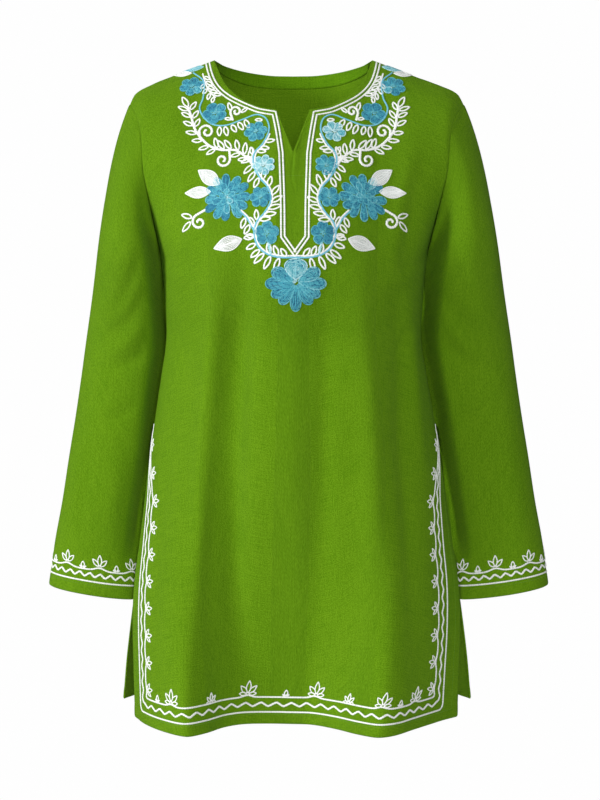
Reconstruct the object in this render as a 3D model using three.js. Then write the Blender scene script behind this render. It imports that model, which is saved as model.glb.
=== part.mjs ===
// Women's hip-length kurti: an A-line cotton tunic with a rounded neck and a front slit,
// long set-in sleeves and open side slits, standing as a hollow worn form.
// Millimetres, +Z up, the wearer faces -Y. The origin is midway between the two points
// where the shoulder seams meet the neck, and the hem lies HEM_Z below it.
import * as THREE from 'three';

// The shoulders, sleeves and side edges hang a little to the wearer's left
const SWAY = { reach: 4, from: 140, to: 200 };
const SLEEVE_SWAY = { reach: 2, from: 200, to: 250 };

// Cloth
const CLOTH = 1.2;
const TURNED_CLOTH = 2.2;
const SEAM_GAP = 0.42;
const FACING_GAP = 0.3;

// Levels
const UNDERARM_Z = -215;
const CENTRE_CHEST_Z = -262;
const SLIT_TOP_Z = -425;
const HEM_Z = -747;
const HEM_FOLD = 14;

// Rows and columns of the cloth
const SKIRT_ROWS_TO_SLIT = 7;
const SKIRT_ROWS_TO_HEM = 9;
const SLEEVE_ROWS = 21;
const FACING_ROWS = 2;
// Shares of the way from shoulder to underarm, close together at the neck for its facing
const YOKE_SHARES = [0, 0.03, 0.06, 0.13, 0.22, 0.33, 0.45, 0.58, 0.72, 0.86, 1];
const YOKE_ROWS = YOKE_SHARES.length - 1;

// Neck and shoulders
const NECK_SHARE = 0.42;
const SHOULDER_SLOPE = [
  { at: 0, x: 91, y: 5, z: -3 },
  { at: 0.45, x: 137, y: 4, z: -20.5 },
  { at: 0.75, x: 167.5, y: 2, z: -32.5 },
  { at: 0.92, x: 185, y: 1, z: -42 },
  { at: 1, x: 192, y: 0, z: -54 },
];
const FRONT_NECK = [
  { at: 0, x: 0, y: -85, z: -113 },
  { at: 0.09, x: 8.5, y: -71, z: -90 },
  { at: 0.18, x: 18.5, y: -55, z: -64 },
  { at: 0.28, x: 30, y: -53, z: -62.5 },
  { at: 0.45, x: 45, y: -47, z: -58 },
  { at: 0.64, x: 62, y: -37, z: -48 },
  { at: 0.82, x: 78, y: -21, z: -31 },
  { at: 1, x: 91, y: 5, z: -3 },
];
// How far the cloth swells forward or back as it leaves the shoulder seam, and how much
// of that is added beside the neck point
const FRONT_SWELL = { all: 1.9, besideNeck: -0.35 };
const BACK_SWELL = { all: 2.8, besideNeck: 0.15 };
const BACK_NECK = [
  { at: 0, x: 0, y: 75, z: -15 },
  { at: 0.3, x: 28, y: 72, z: -14.5 },
  { at: 0.6, x: 58, y: 56, z: -11.5 },
  { at: 0.85, x: 81, y: 30, z: -7 },
  { at: 1, x: 91, y: 5, z: -3 },
];
const FRONT_ARMHOLE = [
  { at: 0, x: 192, y: 0, z: -54 },
  { at: 0.15, x: 182.5, y: -20, z: -68 },
  { at: 0.3, x: 175.5, y: -34, z: -92 },
  { at: 0.5, x: 172, y: -41, z: -131 },
  { at: 0.68, x: 164, y: -37, z: -170 },
  { at: 0.85, x: 157.5, y: -22, z: -201 },
  { at: 1, x: 155, y: 0, z: UNDERARM_Z },
];
const BACK_ARMHOLE = [
  { at: 0, x: 192, y: 0, z: -54 },
  { at: 0.15, x: 184, y: 21, z: -68 },
  { at: 0.3, x: 178, y: 37, z: -92 },
  { at: 0.5, x: 173, y: 46, z: -131 },
  { at: 0.68, x: 166, y: 41, z: -170 },
  { at: 0.85, x: 159, y: 24, z: -201 },
  { at: 1, x: 155, y: 0, z: UNDERARM_Z },
];

// Body of the tunic: half width at the side, depth of the front and of the back
const BODY = [
  { z: -190, half: 159, front: 117, back: 98 },
  { z: -215, half: 155, front: 121, back: 97 },
  { z: -245, half: 151.5, front: 121, back: 92 },
  { z: -278, half: 149, front: 114, back: 83 },
  { z: -324, half: 147.5, front: 102, back: 77 },
  { z: -371, half: 154.5, front: 105, back: 87 },
  { z: -417, half: 162, front: 113, back: 100 },
  { z: -463, half: 168.5, front: 119, back: 108 },
  { z: -509, half: 174, front: 122, back: 112 },
  { z: -598, half: 184.5, front: 122, back: 112 },
  { z: -747, half: 196, front: 122, back: 112 },
];
// Free side edges below the slit top
const FRONT_EDGE = [
  { z: SLIT_TOP_Z, x: 163, y: 0 },
  { z: -463, x: 168.5, y: -8 },
  { z: -509, x: 174, y: -19 },
  { z: -554, x: 179.5, y: -31 },
  { z: -598, x: 185.5, y: -43 },
  { z: -640, x: 187, y: -55 },
  { z: -690, x: 185, y: -68 },
  { z: -747, x: 182.5, y: -80 },
];
const BACK_EDGE = [
  { z: SLIT_TOP_Z, x: 163, y: 0 },
  { z: -463, x: 169, y: 4 },
  { z: -509, x: 175, y: 9 },
  { z: -554, x: 181, y: 13 },
  { z: -598, x: 188, y: 15 },
  { z: -690, x: 200, y: 13 },
  { z: -747, x: 205, y: 11 },
];
// The hems seen from above, from the left edge to the right, by share of their length
const FRONT_HEM = [
  { at: 0, x: -182.5, y: -80 },
  { at: 0.085, x: -167, y: -116 },
  { at: 0.176, x: -141, y: -152 },
  { at: 0.233, x: -116, y: -172 },
  { at: 0.283, x: -95, y: -157 },
  { at: 0.353, x: -75, y: -130 },
  { at: 0.4, x: -56, y: -117 },
  { at: 0.455, x: -30, y: -114 },
  { at: 0.516, x: 0, y: -116 },
  { at: 0.557, x: 20, y: -119 },
  { at: 0.621, x: 45, y: -137 },
  { at: 0.69, x: 70, y: -162 },
  { at: 0.74, x: 92, y: -176 },
  { at: 0.783, x: 111, y: -168 },
  { at: 0.848, x: 131, y: -144 },
  { at: 0.91, x: 151, y: -119 },
  { at: 0.955, x: 167, y: -98 },
  { at: 1, x: 182.5, y: -80 },
];
const BACK_HEM = [
  { at: 0, x: -205, y: 11 },
  { at: 0.093, x: -181, y: 53 },
  { at: 0.192, x: -147, y: 92 },
  { at: 0.274, x: -110, y: 113 },
  { at: 0.347, x: -75, y: 105 },
  { at: 0.422, x: -40, y: 92 },
  { at: 0.505, x: 0, y: 90 },
  { at: 0.588, x: 40, y: 99 },
  { at: 0.674, x: 80, y: 113 },
  { at: 0.746, x: 115, y: 106 },
  { at: 0.832, x: 151, y: 83 },
  { at: 0.916, x: 182, y: 50 },
  { at: 1, x: 205, y: 11 },
];
// Soft folds of the body: place across the panel at the waist and at the slit, width, height
const FRONT_FOLDS = [
  { waist: -0.46, slit: -0.46, width: 0.1, height: 6 },
  { waist: -0.3, slit: -0.3, width: 0.09, height: -5 },
  { waist: -0.12, slit: -0.13, width: 0.12, height: 2 },
  { waist: 0.13, slit: 0.13, width: 0.12, height: -2.5 },
  { waist: 0.36, slit: 0.38, width: 0.12, height: 6 },
  { waist: 0.58, slit: 0.6, width: 0.09, height: -4 },
];
const BACK_FOLDS = [
  { waist: -0.4, slit: -0.44, width: 0.11, height: 6 },
  { waist: -0.1, slit: -0.06, width: 0.12, height: -4 },
  { waist: 0.3, slit: 0.36, width: 0.12, height: 5 },
  { waist: 0.62, slit: 0.6, width: 0.09, height: -3 },
];

// Sleeve: centre, half width across and half depth of each section down the arm
const SLEEVE = [
  { z: -240, x: 193, y: 6, half: 39.5, depth: 58 },
  { z: -285, x: 193.5, y: 18, half: 47, depth: 52 },
  { z: -332, x: 194.5, y: 27, half: 54, depth: 46 },
  { z: -380, x: 202, y: 28, half: 53.5, depth: 43 },
  { z: -424, x: 209.5, y: 25, half: 52.5, depth: 41 },
  { z: -470, x: 217, y: 17, half: 52, depth: 39.5 },
  { z: -518, x: 225, y: 1, half: 50, depth: 38 },
  { z: -565, x: 230.5, y: -12, half: 52, depth: 36 },
  { z: -613, x: 234, y: -24, half: 54, depth: 33 },
];
const SLEEVE_TILT = 0.15;
const SLEEVE_CLEARANCE = 2.5;
const EDGE_CLEARANCE = 4;
const GAP_REACH = 0.3;
const ARMHOLE_LEAN = new THREE.Vector3(0.97, 0, -0.24).normalize();

const smooth = (from, to, value) => {
  const t = THREE.MathUtils.clamp((value - from) / (to - from), 0, 1);
  return t * t * (3 - 2 * t);
};

const swayAt = (x, sway) => sway.reach * smooth(sway.from, sway.to, Math.abs(x));

// Smooth curve through a table's rows, read at one value of its key column
function readTable(table, key, value, column) {
  const rising = table[table.length - 1][key] > table[0][key];
  const order = rising ? 1 : -1;
  const last = table.length - 1;
  const at = THREE.MathUtils.clamp(value * order, table[0][key] * order, table[last][key] * order);
  let i = 0;
  while (i < last - 1 && at > table[i + 1][key] * order) {
    i += 1;
  }
  const slope = (k) => {
    const before = table[Math.max(k - 1, 0)];
    const after = table[Math.min(k + 1, last)];
    return (after[column] - before[column]) / ((after[key] - before[key]) * order);
  };
  const step = (table[i + 1][key] - table[i][key]) * order;
  const t = (at - table[i][key] * order) / step;
  return hermite(table[i][column], slope(i) * step, table[i + 1][column], slope(i + 1) * step, t);
}

function hermite(start, leaving, end, arriving, t) {
  const t2 = t * t;
  const t3 = t2 * t;
  const fromStart = (2 * t3 - 3 * t2 + 1) * start + (t3 - 2 * t2 + t) * leaving;
  const toEnd = (3 * t2 - 2 * t3) * end + (t3 - t2) * arriving;
  return fromStart + toEnd;
}

function hermitePoint(start, leaving, end, arriving, t) {
  return new THREE.Vector3(
    hermite(start.x, leaving.x, end.x, arriving.x, t),
    hermite(start.y, leaving.y, end.y, arriving.y, t),
    hermite(start.z, leaving.z, end.z, arriving.z, t),
  );
}

// One side of the tunic: `sign` is -1 for the front and +1 for the back
const FRONT = {
  sign: -1,
  swell: FRONT_SWELL,
  depth: 'front',
  neck: FRONT_NECK,
  armhole: FRONT_ARMHOLE,
  edge: FRONT_EDGE,
  hem: FRONT_HEM,
  folds: FRONT_FOLDS,
};
const BACK = {
  sign: 1,
  swell: BACK_SWELL,
  depth: 'back',
  neck: BACK_NECK,
  armhole: BACK_ARMHOLE,
  edge: BACK_EDGE,
  hem: BACK_HEM,
  folds: BACK_FOLDS,
};

// Height of the soft folds above the plain body, at share u across and level z
function foldHeight(side, u, z) {
  const grown = smooth(-225, -345, z) * (1 - smooth(-480, -700, z));
  const down = smooth(-324, SLIT_TOP_Z, z);
  let height = 0;
  for (const fold of side.folds) {
    const centre = THREE.MathUtils.lerp(fold.waist, fold.slit, down);
    height += fold.height * Math.exp(-(((u - centre) / fold.width) ** 2));
  }
  return height * grown * (1 - u * u);
}

// The body below the chest: an oval that turns into the folded hem
function skirtPoint(side, u, z) {
  const angle = (u * Math.PI) / 2;
  const half = readTable(BODY, 'z', z, 'half');
  const depth = readTable(BODY, 'z', z, side.depth) + foldHeight(side, u, z);
  const oval = new THREE.Vector3(half * Math.sin(angle), side.sign * depth * Math.cos(angle), z);
  if (z >= SLIT_TOP_Z) {
    return oval;
  }
  const share = (SLIT_TOP_Z - z) / (SLIT_TOP_Z - HEM_Z);
  const turned = Math.pow(share, 1.15);
  const across = (u + 1) / 2;
  const hem = new THREE.Vector3(
    readTable(side.hem, 'at', across, 'x'),
    readTable(side.hem, 'at', across, 'y'),
    z,
  );
  const point = oval.lerp(hem, turned);
  const edgeNow = new THREE.Vector2(
    THREE.MathUtils.lerp(half, side.hem[side.hem.length - 1].x, turned),
    THREE.MathUtils.lerp(0, side.hem[side.hem.length - 1].y, turned),
  );
  const nearEdge = Math.pow(Math.abs(u), 3);
  point.x += Math.sign(u) * nearEdge * (readTable(side.edge, 'z', z, 'x') - edgeNow.x);
  point.y += nearEdge * (readTable(side.edge, 'z', z, 'y') - edgeNow.y);
  return point;
}

// Level where the yoke rows end, lower at the centre than under the arm
function chestLevel(u) {
  return THREE.MathUtils.lerp(CENTRE_CHEST_Z, UNDERARM_Z, u * u);
}

// Neckline or shoulder seam at share u across the panel
function topPoint(side, u) {
  const across = Math.abs(u);
  const onNeck = across <= NECK_SHARE;
  const table = onNeck ? side.neck : SHOULDER_SLOPE;
  const at = onNeck ? across / NECK_SHARE : (across - NECK_SHARE) / (1 - NECK_SHARE);
  return new THREE.Vector3(
    Math.sign(u) * readTable(table, 'at', at, 'x'),
    readTable(table, 'at', at, 'y'),
    readTable(table, 'at', at, 'z'),
  );
}

function armholePoint(side, t) {
  return new THREE.Vector3(
    readTable(side.armhole, 'at', t, 'x'),
    readTable(side.armhole, 'at', t, 'y'),
    readTable(side.armhole, 'at', t, 'z'),
  );
}

// The yoke's plain column at u: over the shoulder, then down to the chest
function yokeColumn(side, u, t) {
  const level = chestLevel(u);
  const top = topPoint(side, u);
  const bottom = skirtPoint(side, u, level);
  const drop = top.z - bottom.z;
  const onShoulder = smooth(0.2, 0.5, Math.abs(u));
  const down = THREE.MathUtils.lerp(0.95, 0.4, onShoulder);
  const nearNeck = Math.exp(-(((Math.abs(u) - NECK_SHARE - 0.04) / 0.16) ** 2));
  const swell = side.swell.all * (1 + side.swell.besideNeck * nearNeck);
  const leaving = new THREE.Vector3(0, swell * (bottom.y - top.y), -down * drop);
  const above = skirtPoint(side, u, level + 8);
  const arriving = bottom.clone().sub(above).multiplyScalar(drop / 8);
  return hermitePoint(top, leaving, bottom, arriving, t);
}

function yokePoint(side, u, t) {
  const point = yokeColumn(side, u, t);
  const outer = Math.sign(u);
  const pull = Math.pow(THREE.MathUtils.clamp((Math.abs(u) - 0.3) / 0.7, 0, 1), 1.7);
  const armhole = armholePoint(side, t);
  const plain = yokeColumn(side, 1, t);
  point.x += outer * pull * (armhole.x - plain.x);
  point.y += pull * (armhole.y - plain.y);
  point.z += pull * (armhole.z - plain.z);
  return point;
}

// Point of a panel at share u across and row number `row` down
function panelPoint(side, u, row) {
  if (row <= YOKE_ROWS) {
    return yokePoint(side, u, YOKE_SHARES[row]);
  }
  return skirtPoint(side, u, skirtLevel(u, row - YOKE_ROWS));
}

const SKIRT_ROWS = SKIRT_ROWS_TO_SLIT + SKIRT_ROWS_TO_HEM;
const LAST_ROW = YOKE_ROWS + SKIRT_ROWS + 2;
const SLIT_ROW = YOKE_ROWS + SKIRT_ROWS_TO_SLIT;

// Level of a skirt row: even to the slit top, even to the hem fold, then the turned hem
function skirtLevel(u, row) {
  const start = chestLevel(u);
  if (row > SKIRT_ROWS) {
    const left = [HEM_Z + HEM_FOLD - 1, HEM_Z];
    return left[row - SKIRT_ROWS - 1];
  }
  if (row <= SKIRT_ROWS_TO_SLIT) {
    return THREE.MathUtils.lerp(start, SLIT_TOP_Z, row / SKIRT_ROWS_TO_SLIT);
  }
  return THREE.MathUtils.lerp(SLIT_TOP_Z, HEM_Z + HEM_FOLD, (row - SKIRT_ROWS_TO_SLIT) / SKIRT_ROWS_TO_HEM);
}

// Shares across a panel, the given ones mirrored to the other side
function bothSides(right) {
  const left = right.filter((share) => share > 0).reverse().map((share) => -share);
  return [...left, ...right];
}

const flip = (lines) => lines.map((line) => [...line].reverse());

// Outward directions of a grid of points, from its neighbours' differences
function gridNormals(grid, closed) {
  const rows = grid.length;
  const columns = grid[0].length;
  const wrap = (j) => (closed ? (j + columns) % columns : THREE.MathUtils.clamp(j, 0, columns - 1));
  return grid.map((line, i) => line.map((_, j) => {
    const across = grid[i][wrap(j + 1)].clone().sub(grid[i][wrap(j - 1)]);
    const down = grid[Math.min(i + 1, rows - 1)][j].clone().sub(grid[Math.max(i - 1, 0)][j]);
    return down.cross(across).normalize();
  }));
}

// A closed wall of cloth: the outer grid, the same grid set inward, and the rims between
function clothWall(name, grid, normals, thickness, closed, material) {
  const rows = grid.length;
  const columns = grid[0].length;
  const positions = [];
  const push = (point) => {
    positions.push(point.x + swayAt(point.x, SWAY) + swayAt(point.x, SLEEVE_SWAY), point.y, point.z);
  };
  grid.forEach((line) => line.forEach(push));
  grid.forEach((line, i) => line.forEach((point, j) => {
    push(point.clone().addScaledVector(normals[i][j], -thickness(i, j)));
  }));
  const inner = rows * columns;
  const faces = [];
  const quad = (a, b, c, d) => faces.push(a, b, c, a, c, d);
  const spans = closed ? columns : columns - 1;
  for (let i = 0; i < rows - 1; i += 1) {
    for (let j = 0; j < spans; j += 1) {
      const k = (j + 1) % columns;
      const a = i * columns + j;
      const b = i * columns + k;
      const c = (i + 1) * columns + k;
      const d = (i + 1) * columns + j;
      quad(a, d, c, b);
      quad(a + inner, b + inner, c + inner, d + inner);
    }
  }
  for (let j = 0; j < spans; j += 1) {
    const k = (j + 1) % columns;
    const foot = (rows - 1) * columns;
    quad(j, k, k + inner, j + inner);
    quad(foot + k, foot + j, foot + j + inner, foot + k + inner);
  }
  if (!closed) {
    for (let i = 0; i < rows - 1; i += 1) {
      const a = i * columns;
      const b = a + columns;
      const c = a + columns - 1;
      const d = b + columns - 1;
      quad(b, a, a + inner, b + inner);
      quad(c, d, d + inner, c + inner);
    }
  }
  const geometry = new THREE.BufferGeometry();
  geometry.setAttribute('position', new THREE.Float32BufferAttribute(positions, 3));
  geometry.setIndex(faces);
  geometry.computeVertexNormals();
  const mesh = new THREE.Mesh(geometry, material);
  mesh.name = name;
  return mesh;
}

// Direction out of the armhole's loop, square to the seam there
function armholeNormal(before, after) {
  const along = after.clone().sub(before);
  return ARMHOLE_LEAN.clone().cross(along).normalize();
}

// Normals that two pieces share along a seam, so that their edges stand side by side
function setSeamNormals(side, shares, normals) {
  const last = shares.length - 1;
  for (const j of [0, last]) {
    const outer = j === 0 ? -1 : 1;
    for (let i = 0; i <= YOKE_ROWS; i += 1) {
      const mirrored = (row, panel) => {
        if (row >= 0 && row <= YOKE_ROWS) {
          return armholePoint(panel, YOKE_SHARES[row]);
        }
        const other = panel === FRONT ? BACK : FRONT;
        const beyond = row < 0 ? -row : 2 * YOKE_ROWS - row;
        return armholePoint(other, YOKE_SHARES[beyond]);
      };
      const normal = armholeNormal(mirrored(i - 1, side), mirrored(i + 1, side));
      normal.multiplyScalar(side.sign < 0 ? -1 : 1);
      normals[i][j].set(outer * normal.x, normal.y, normal.z);
    }
    for (let i = YOKE_ROWS + 1; i <= SLIT_ROW; i += 1) {
      normals[i][j].set(outer, 0, 0);
    }
  }
  shares.forEach((u, j) => {
    if (Math.abs(u) >= NECK_SHARE - 1e-6 && j > 0 && j < last) {
      const from = topPoint(side, u - 0.02 * Math.sign(u));
      const to = topPoint(side, u + 0.02 * Math.sign(u));
      normals[0][j].set(-(to.z - from.z), 0, to.x - from.x).normalize();
      if (normals[0][j].z < 0) {
        normals[0][j].negate();
      }
    }
  });
}

// Moves a panel's seam edges half the seam gap away from the piece they are sewn to
function openSeams(side, shares, grid) {
  const half = SEAM_GAP / 2;
  const last = shares.length - 1;
  shares.forEach((u, j) => {
    if (Math.abs(u) >= NECK_SHARE - 1e-6) {
      grid[0][j].y += side.sign * half;
    }
  });
  for (const j of [0, last]) {
    const outer = j === 0 ? -1 : 1;
    for (let i = 0; i <= YOKE_ROWS; i += 1) {
      grid[i][j].x -= outer * half * ARMHOLE_LEAN.x;
      grid[i][j].z -= half * ARMHOLE_LEAN.z;
    }
    for (let i = YOKE_ROWS; i <= LAST_ROW; i += 1) {
      grid[i][j].y += side.sign * half;
    }
  }
}

// Points and outward directions of a panel, before its seams are opened
function panelGrid(side, shares) {
  const grid = [];
  for (let row = 0; row <= LAST_ROW; row += 1) {
    grid.push(shares.map((u) => panelPoint(side, u, row)));
  }
  const normals = gridNormals(grid, false);
  if (side.sign > 0) {
    normals.forEach((line) => line.forEach((normal) => normal.negate()));
  }
  setSeamNormals(side, shares, normals);
  return { grid, normals };
}

function makePanel(name, side, shares, material) {
  const { grid, normals } = panelGrid(side, shares);
  openSeams(side, shares, grid);
  const last = shares.length - 1;
  const thickness = (i, j) => {
    const turnedHem = i >= LAST_ROW - 1;
    const turnedSlit = i > SLIT_ROW && (j === 0 || j === last);
    const turnedNeck = i === 0 && Math.abs(shares[j]) < NECK_SHARE - 1e-6;
    return turnedHem || turnedSlit || turnedNeck ? TURNED_CLOTH : CLOTH;
  };
  if (side.sign > 0) {
    return clothWall(name, flip(grid), flip(normals), (i, j) => thickness(i, last - j), false, material);
  }
  return clothWall(name, grid, normals, thickness, false, material);
}

// Half width of a panel where it stands at depth y on level z, the wider of its two sides
function panelHalfWidth(side, y, z) {
  let inner = 0;
  let outer = 1;
  for (let step = 0; step < 12; step += 1) {
    const middle = (inner + outer) / 2;
    if ((skirtPoint(side, middle, z).y - y) * side.sign > 0) {
      inner = middle;
    } else {
      outer = middle;
    }
  }
  return Math.max(skirtPoint(side, outer, z).x, -skirtPoint(side, -outer, z).x);
}

// Least half width at which a sleeve clears the body, at depth y and level z; below the
// slit top it may reach in between the free edges
function clearOfBody(y, z) {
  if (z > SLIT_TOP_Z) {
    return panelHalfWidth(y < 0 ? FRONT : BACK, y, z) + SLEEVE_CLEARANCE;
  }
  const fromFront = y - readTable(FRONT_EDGE, 'z', z, 'y');
  const fromBack = readTable(BACK_EDGE, 'z', z, 'y') - y;
  const inGap = Math.max(Math.min(fromFront, fromBack), 0);
  const side = fromFront < fromBack ? FRONT : BACK;
  return panelHalfWidth(side, y, z) + EDGE_CLEARANCE - GAP_REACH * inGap;
}

function sleeveSection(z, angle) {
  const read = (column) => readTable(SLEEVE, 'z', z, column);
  const across = read('half') * Math.cos(angle);
  const point = new THREE.Vector3(
    read('x') + across,
    read('y') - read('depth') * Math.sin(angle),
    z + SLEEVE_TILT * across,
  );
  if (Math.cos(angle) < 0) {
    point.x = Math.max(point.x, clearOfBody(point.y, point.z));
  }
  return point;
}

// Sleeve seam loop: round the armhole from the shoulder, down the front, up the back
function sleeveTop(step) {
  const onFront = step <= YOKE_ROWS;
  const t = YOKE_SHARES[onFront ? step : 2 * YOKE_ROWS - step];
  return armholePoint(onFront ? FRONT : BACK, t);
}

const CAP_SHARE = 0.3;
const CAP_REACH = 46;

function sleevePoint(step, t) {
  const onFront = step <= YOKE_ROWS;
  const turn = onFront ? YOKE_SHARES[step] : 2 - YOKE_SHARES[2 * YOKE_ROWS - step];
  const angle = Math.PI * turn;
  const bicep = SLEEVE[0].z;
  if (t > CAP_SHARE) {
    const cuff = SLEEVE[SLEEVE.length - 1].z;
    return sleeveSection(THREE.MathUtils.lerp(bicep, cuff, (t - CAP_SHARE) / (1 - CAP_SHARE)), angle);
  }
  const top = sleeveTop(step);
  const bottom = sleeveSection(bicep, angle);
  const chord = bottom.clone().sub(top);
  const outward = THREE.MathUtils.lerp(5, CAP_REACH, Math.pow((1 + Math.cos(angle)) / 2, 1.4));
  const leaving = chord.clone().multiplyScalar(0.8).addScaledVector(ARMHOLE_LEAN, outward);
  const below = sleeveSection(bicep - 8, angle);
  const arriving = below.sub(bottom).multiplyScalar(chord.length() / 8);
  const point = hermitePoint(top, leaving, bottom, arriving, t / CAP_SHARE);
  if (point.z < UNDERARM_Z) {
    const sewn = SLEEVE_CLEARANCE * (1 - smooth(UNDERARM_Z, UNDERARM_Z - 25, point.z));
    point.x = Math.max(point.x, clearOfBody(point.y, point.z) - sewn);
  }
  return point;
}

function makeSleeve(name, outer, material) {
  const steps = 2 * YOKE_ROWS;
  const cuffLine = 1 - HEM_FOLD / (SLEEVE[0].z - SLEEVE[SLEEVE.length - 1].z) * (1 - CAP_SHARE);
  const shares = [];
  for (let i = 0; i < SLEEVE_ROWS; i += 1) {
    shares.push((cuffLine * i) / (SLEEVE_ROWS - 1));
  }
  shares.push(cuffLine + 0.002, 1);
  const grid = shares.map((t) => {
    const line = [];
    for (let step = 0; step < steps; step += 1) {
      line.push(sleevePoint(step, t));
    }
    return line;
  });
  const normals = gridNormals(grid, true);
  for (let step = 0; step < steps; step += 1) {
    const before = sleeveTop((step + steps - 1) % steps);
    const after = sleeveTop((step + 1) % steps);
    normals[0][step].copy(armholeNormal(after, before));
    grid[0][step].addScaledVector(ARMHOLE_LEAN, SEAM_GAP / 2);
  }
  if (normals[0][0].z < 0) {
    normals[0].forEach((normal) => normal.negate());
  }
  if (normals[1][0].x < 0) {
    normals.slice(1).forEach((line) => line.forEach((normal) => normal.negate()));
  }
  if (outer > 0) {
    return clothWall(name, flip(grid), flip(normals), sleeveThickness, true, material);
  }
  const mirror = (line) => line.map((v) => new THREE.Vector3(-v.x, v.y, v.z));
  return clothWall(name, grid.map(mirror), normals.map(mirror), sleeveThickness, true, material);
}

function sleeveThickness(i) {
  return i > SLEEVE_ROWS - 1 ? TURNED_CLOTH : CLOTH;
}

// Narrow band turned inside the back neck, just off the back panel's inner face
function makeFacing(shares, material) {
  const inside = shares.filter((u) => Math.abs(u) < NECK_SHARE - 1e-6);
  const first = shares.indexOf(inside[0]);
  const { grid, normals } = panelGrid(BACK, shares);
  const cut = (line) => line.slice(first, first + inside.length);
  const band = grid.slice(0, FACING_ROWS + 1).map(cut);
  const directions = normals.slice(0, FACING_ROWS + 1).map(cut);
  band.forEach((line, i) => line.forEach((point, j) => {
    point.addScaledVector(directions[i][j], -(TURNED_CLOTH + FACING_GAP));
  }));
  return clothWall('back_neck_facing', flip(band), flip(directions), () => CLOTH, false, material);
}

function cottonGreen(hex) {
  return new THREE.MeshStandardMaterial({
    color: hex,
    roughness: 0.85,
    metalness: 0,
    side: THREE.DoubleSide,
  });
}

const SHOULDER_SHARES = [0.5, 0.58, 0.66, 0.74, 0.82, 0.91, 1];
const FRONT_SHARES = bothSides([0, 0.0378, 0.0756, 0.14, 0.21, 0.28, 0.35, NECK_SHARE, ...SHOULDER_SHARES]);
const BACK_SHARES = bothSides([0, 0.09, 0.18, 0.26, 0.33, 0.4, NECK_SHARE, ...SHOULDER_SHARES]);

const kurti = new THREE.Group();
kurti.add(makePanel('front', FRONT, FRONT_SHARES, cottonGreen(0x5c8a14)));
kurti.add(makePanel('back', BACK, BACK_SHARES, cottonGreen(0x55800f)));
kurti.add(makeSleeve('sleeve_right', -1, cottonGreen(0x5c8a14)));
kurti.add(makeSleeve('sleeve_left', 1, cottonGreen(0x5c8a14)));
kurti.add(makeFacing(BACK_SHARES, cottonGreen(0x4f7a0f)));

export default kurti;
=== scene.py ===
"""Looks of a women's embroidered cotton kurti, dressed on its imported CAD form."""

import logging
import math
from dataclasses import dataclass, field
from enum import Enum
from typing import Any, Iterable, Sequence

import bpy
import numpy as np
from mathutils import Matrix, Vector
from mathutils.bvhtree import BVHTree


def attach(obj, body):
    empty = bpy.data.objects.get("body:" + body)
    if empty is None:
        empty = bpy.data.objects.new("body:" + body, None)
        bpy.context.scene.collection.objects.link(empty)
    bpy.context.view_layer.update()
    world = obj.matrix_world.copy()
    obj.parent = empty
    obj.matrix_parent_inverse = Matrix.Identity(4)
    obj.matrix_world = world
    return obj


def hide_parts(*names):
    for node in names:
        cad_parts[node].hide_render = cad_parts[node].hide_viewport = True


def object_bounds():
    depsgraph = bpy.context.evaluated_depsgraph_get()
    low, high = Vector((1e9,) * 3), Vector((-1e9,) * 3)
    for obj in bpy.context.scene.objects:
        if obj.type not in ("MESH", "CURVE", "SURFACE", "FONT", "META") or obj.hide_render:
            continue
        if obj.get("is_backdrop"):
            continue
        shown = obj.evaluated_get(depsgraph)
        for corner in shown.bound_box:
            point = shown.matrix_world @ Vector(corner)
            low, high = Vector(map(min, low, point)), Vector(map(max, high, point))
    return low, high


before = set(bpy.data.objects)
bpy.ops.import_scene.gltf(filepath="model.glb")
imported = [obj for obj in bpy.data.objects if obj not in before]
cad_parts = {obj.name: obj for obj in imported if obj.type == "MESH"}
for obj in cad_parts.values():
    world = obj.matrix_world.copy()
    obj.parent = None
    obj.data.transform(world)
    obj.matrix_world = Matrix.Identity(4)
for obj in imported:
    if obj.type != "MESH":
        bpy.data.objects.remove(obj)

CAD_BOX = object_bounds()
LOG = logging.getLogger("kurti")
MM = 0.001
SEED = 4939
TINY = 1e-6
WAVE_CREST = 0.94
Array, Piece, Material = np.ndarray, bpy.types.Object, bpy.types.Material
Triple = tuple[float, float, float]

# Small maths


def smooth(start: float, end: float, value: Any) -> Any:
    """Rises from 0 at start to 1 at end, level at both."""
    t = np.clip((value - start) / (end - start), 0, 1)
    return t * t * (3 - 2 * t)


def mix(a: Any, b: Any, t: Any) -> Any:
    """The value at share t of the way from a to b."""
    return a + (b - a) * t


def bell(distance: Any, width: float) -> Any:
    """1 at distance 0, falling off over width."""
    return np.exp(-((distance / width) ** 2))


def hermite(start: Any, leaving: Any, end: Any, arriving: Any, t: Any) -> Any:
    """Cubic from start to end with the given slopes at both."""
    t2, t3 = t * t, t * t * t
    return (
        (2 * t3 - 3 * t2 + 1) * start
        + (t3 - 2 * t2 + t) * leaving
        + (3 * t2 - 2 * t3) * end
        + (t3 - t2) * arriving
    )


def unit(vectors: Array) -> Array:
    """The vectors at length 1."""
    length = np.linalg.norm(vectors, axis=-1, keepdims=True)
    return vectors / np.maximum(length, 1e-9)


def stack(*parts: Any) -> Array:
    """Coordinates side by side as points."""
    return np.stack(np.broadcast_arrays(*parts), axis=-1).astype(float)


def run_lengths(points: Array, axis: int = 0) -> Array:
    """Length run up to each point along an axis of points."""
    steps = np.linalg.norm(np.diff(points, axis=axis), axis=-1)
    shape = list(steps.shape)
    shape[axis] = 1
    return np.concatenate([np.zeros(shape), np.cumsum(steps, axis=axis)], axis=axis)


def polar(radius: Any, angle: Any) -> Array:
    """Plane points at a radius and an angle in radians."""
    return stack(radius * np.cos(angle), radius * np.sin(angle))


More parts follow.
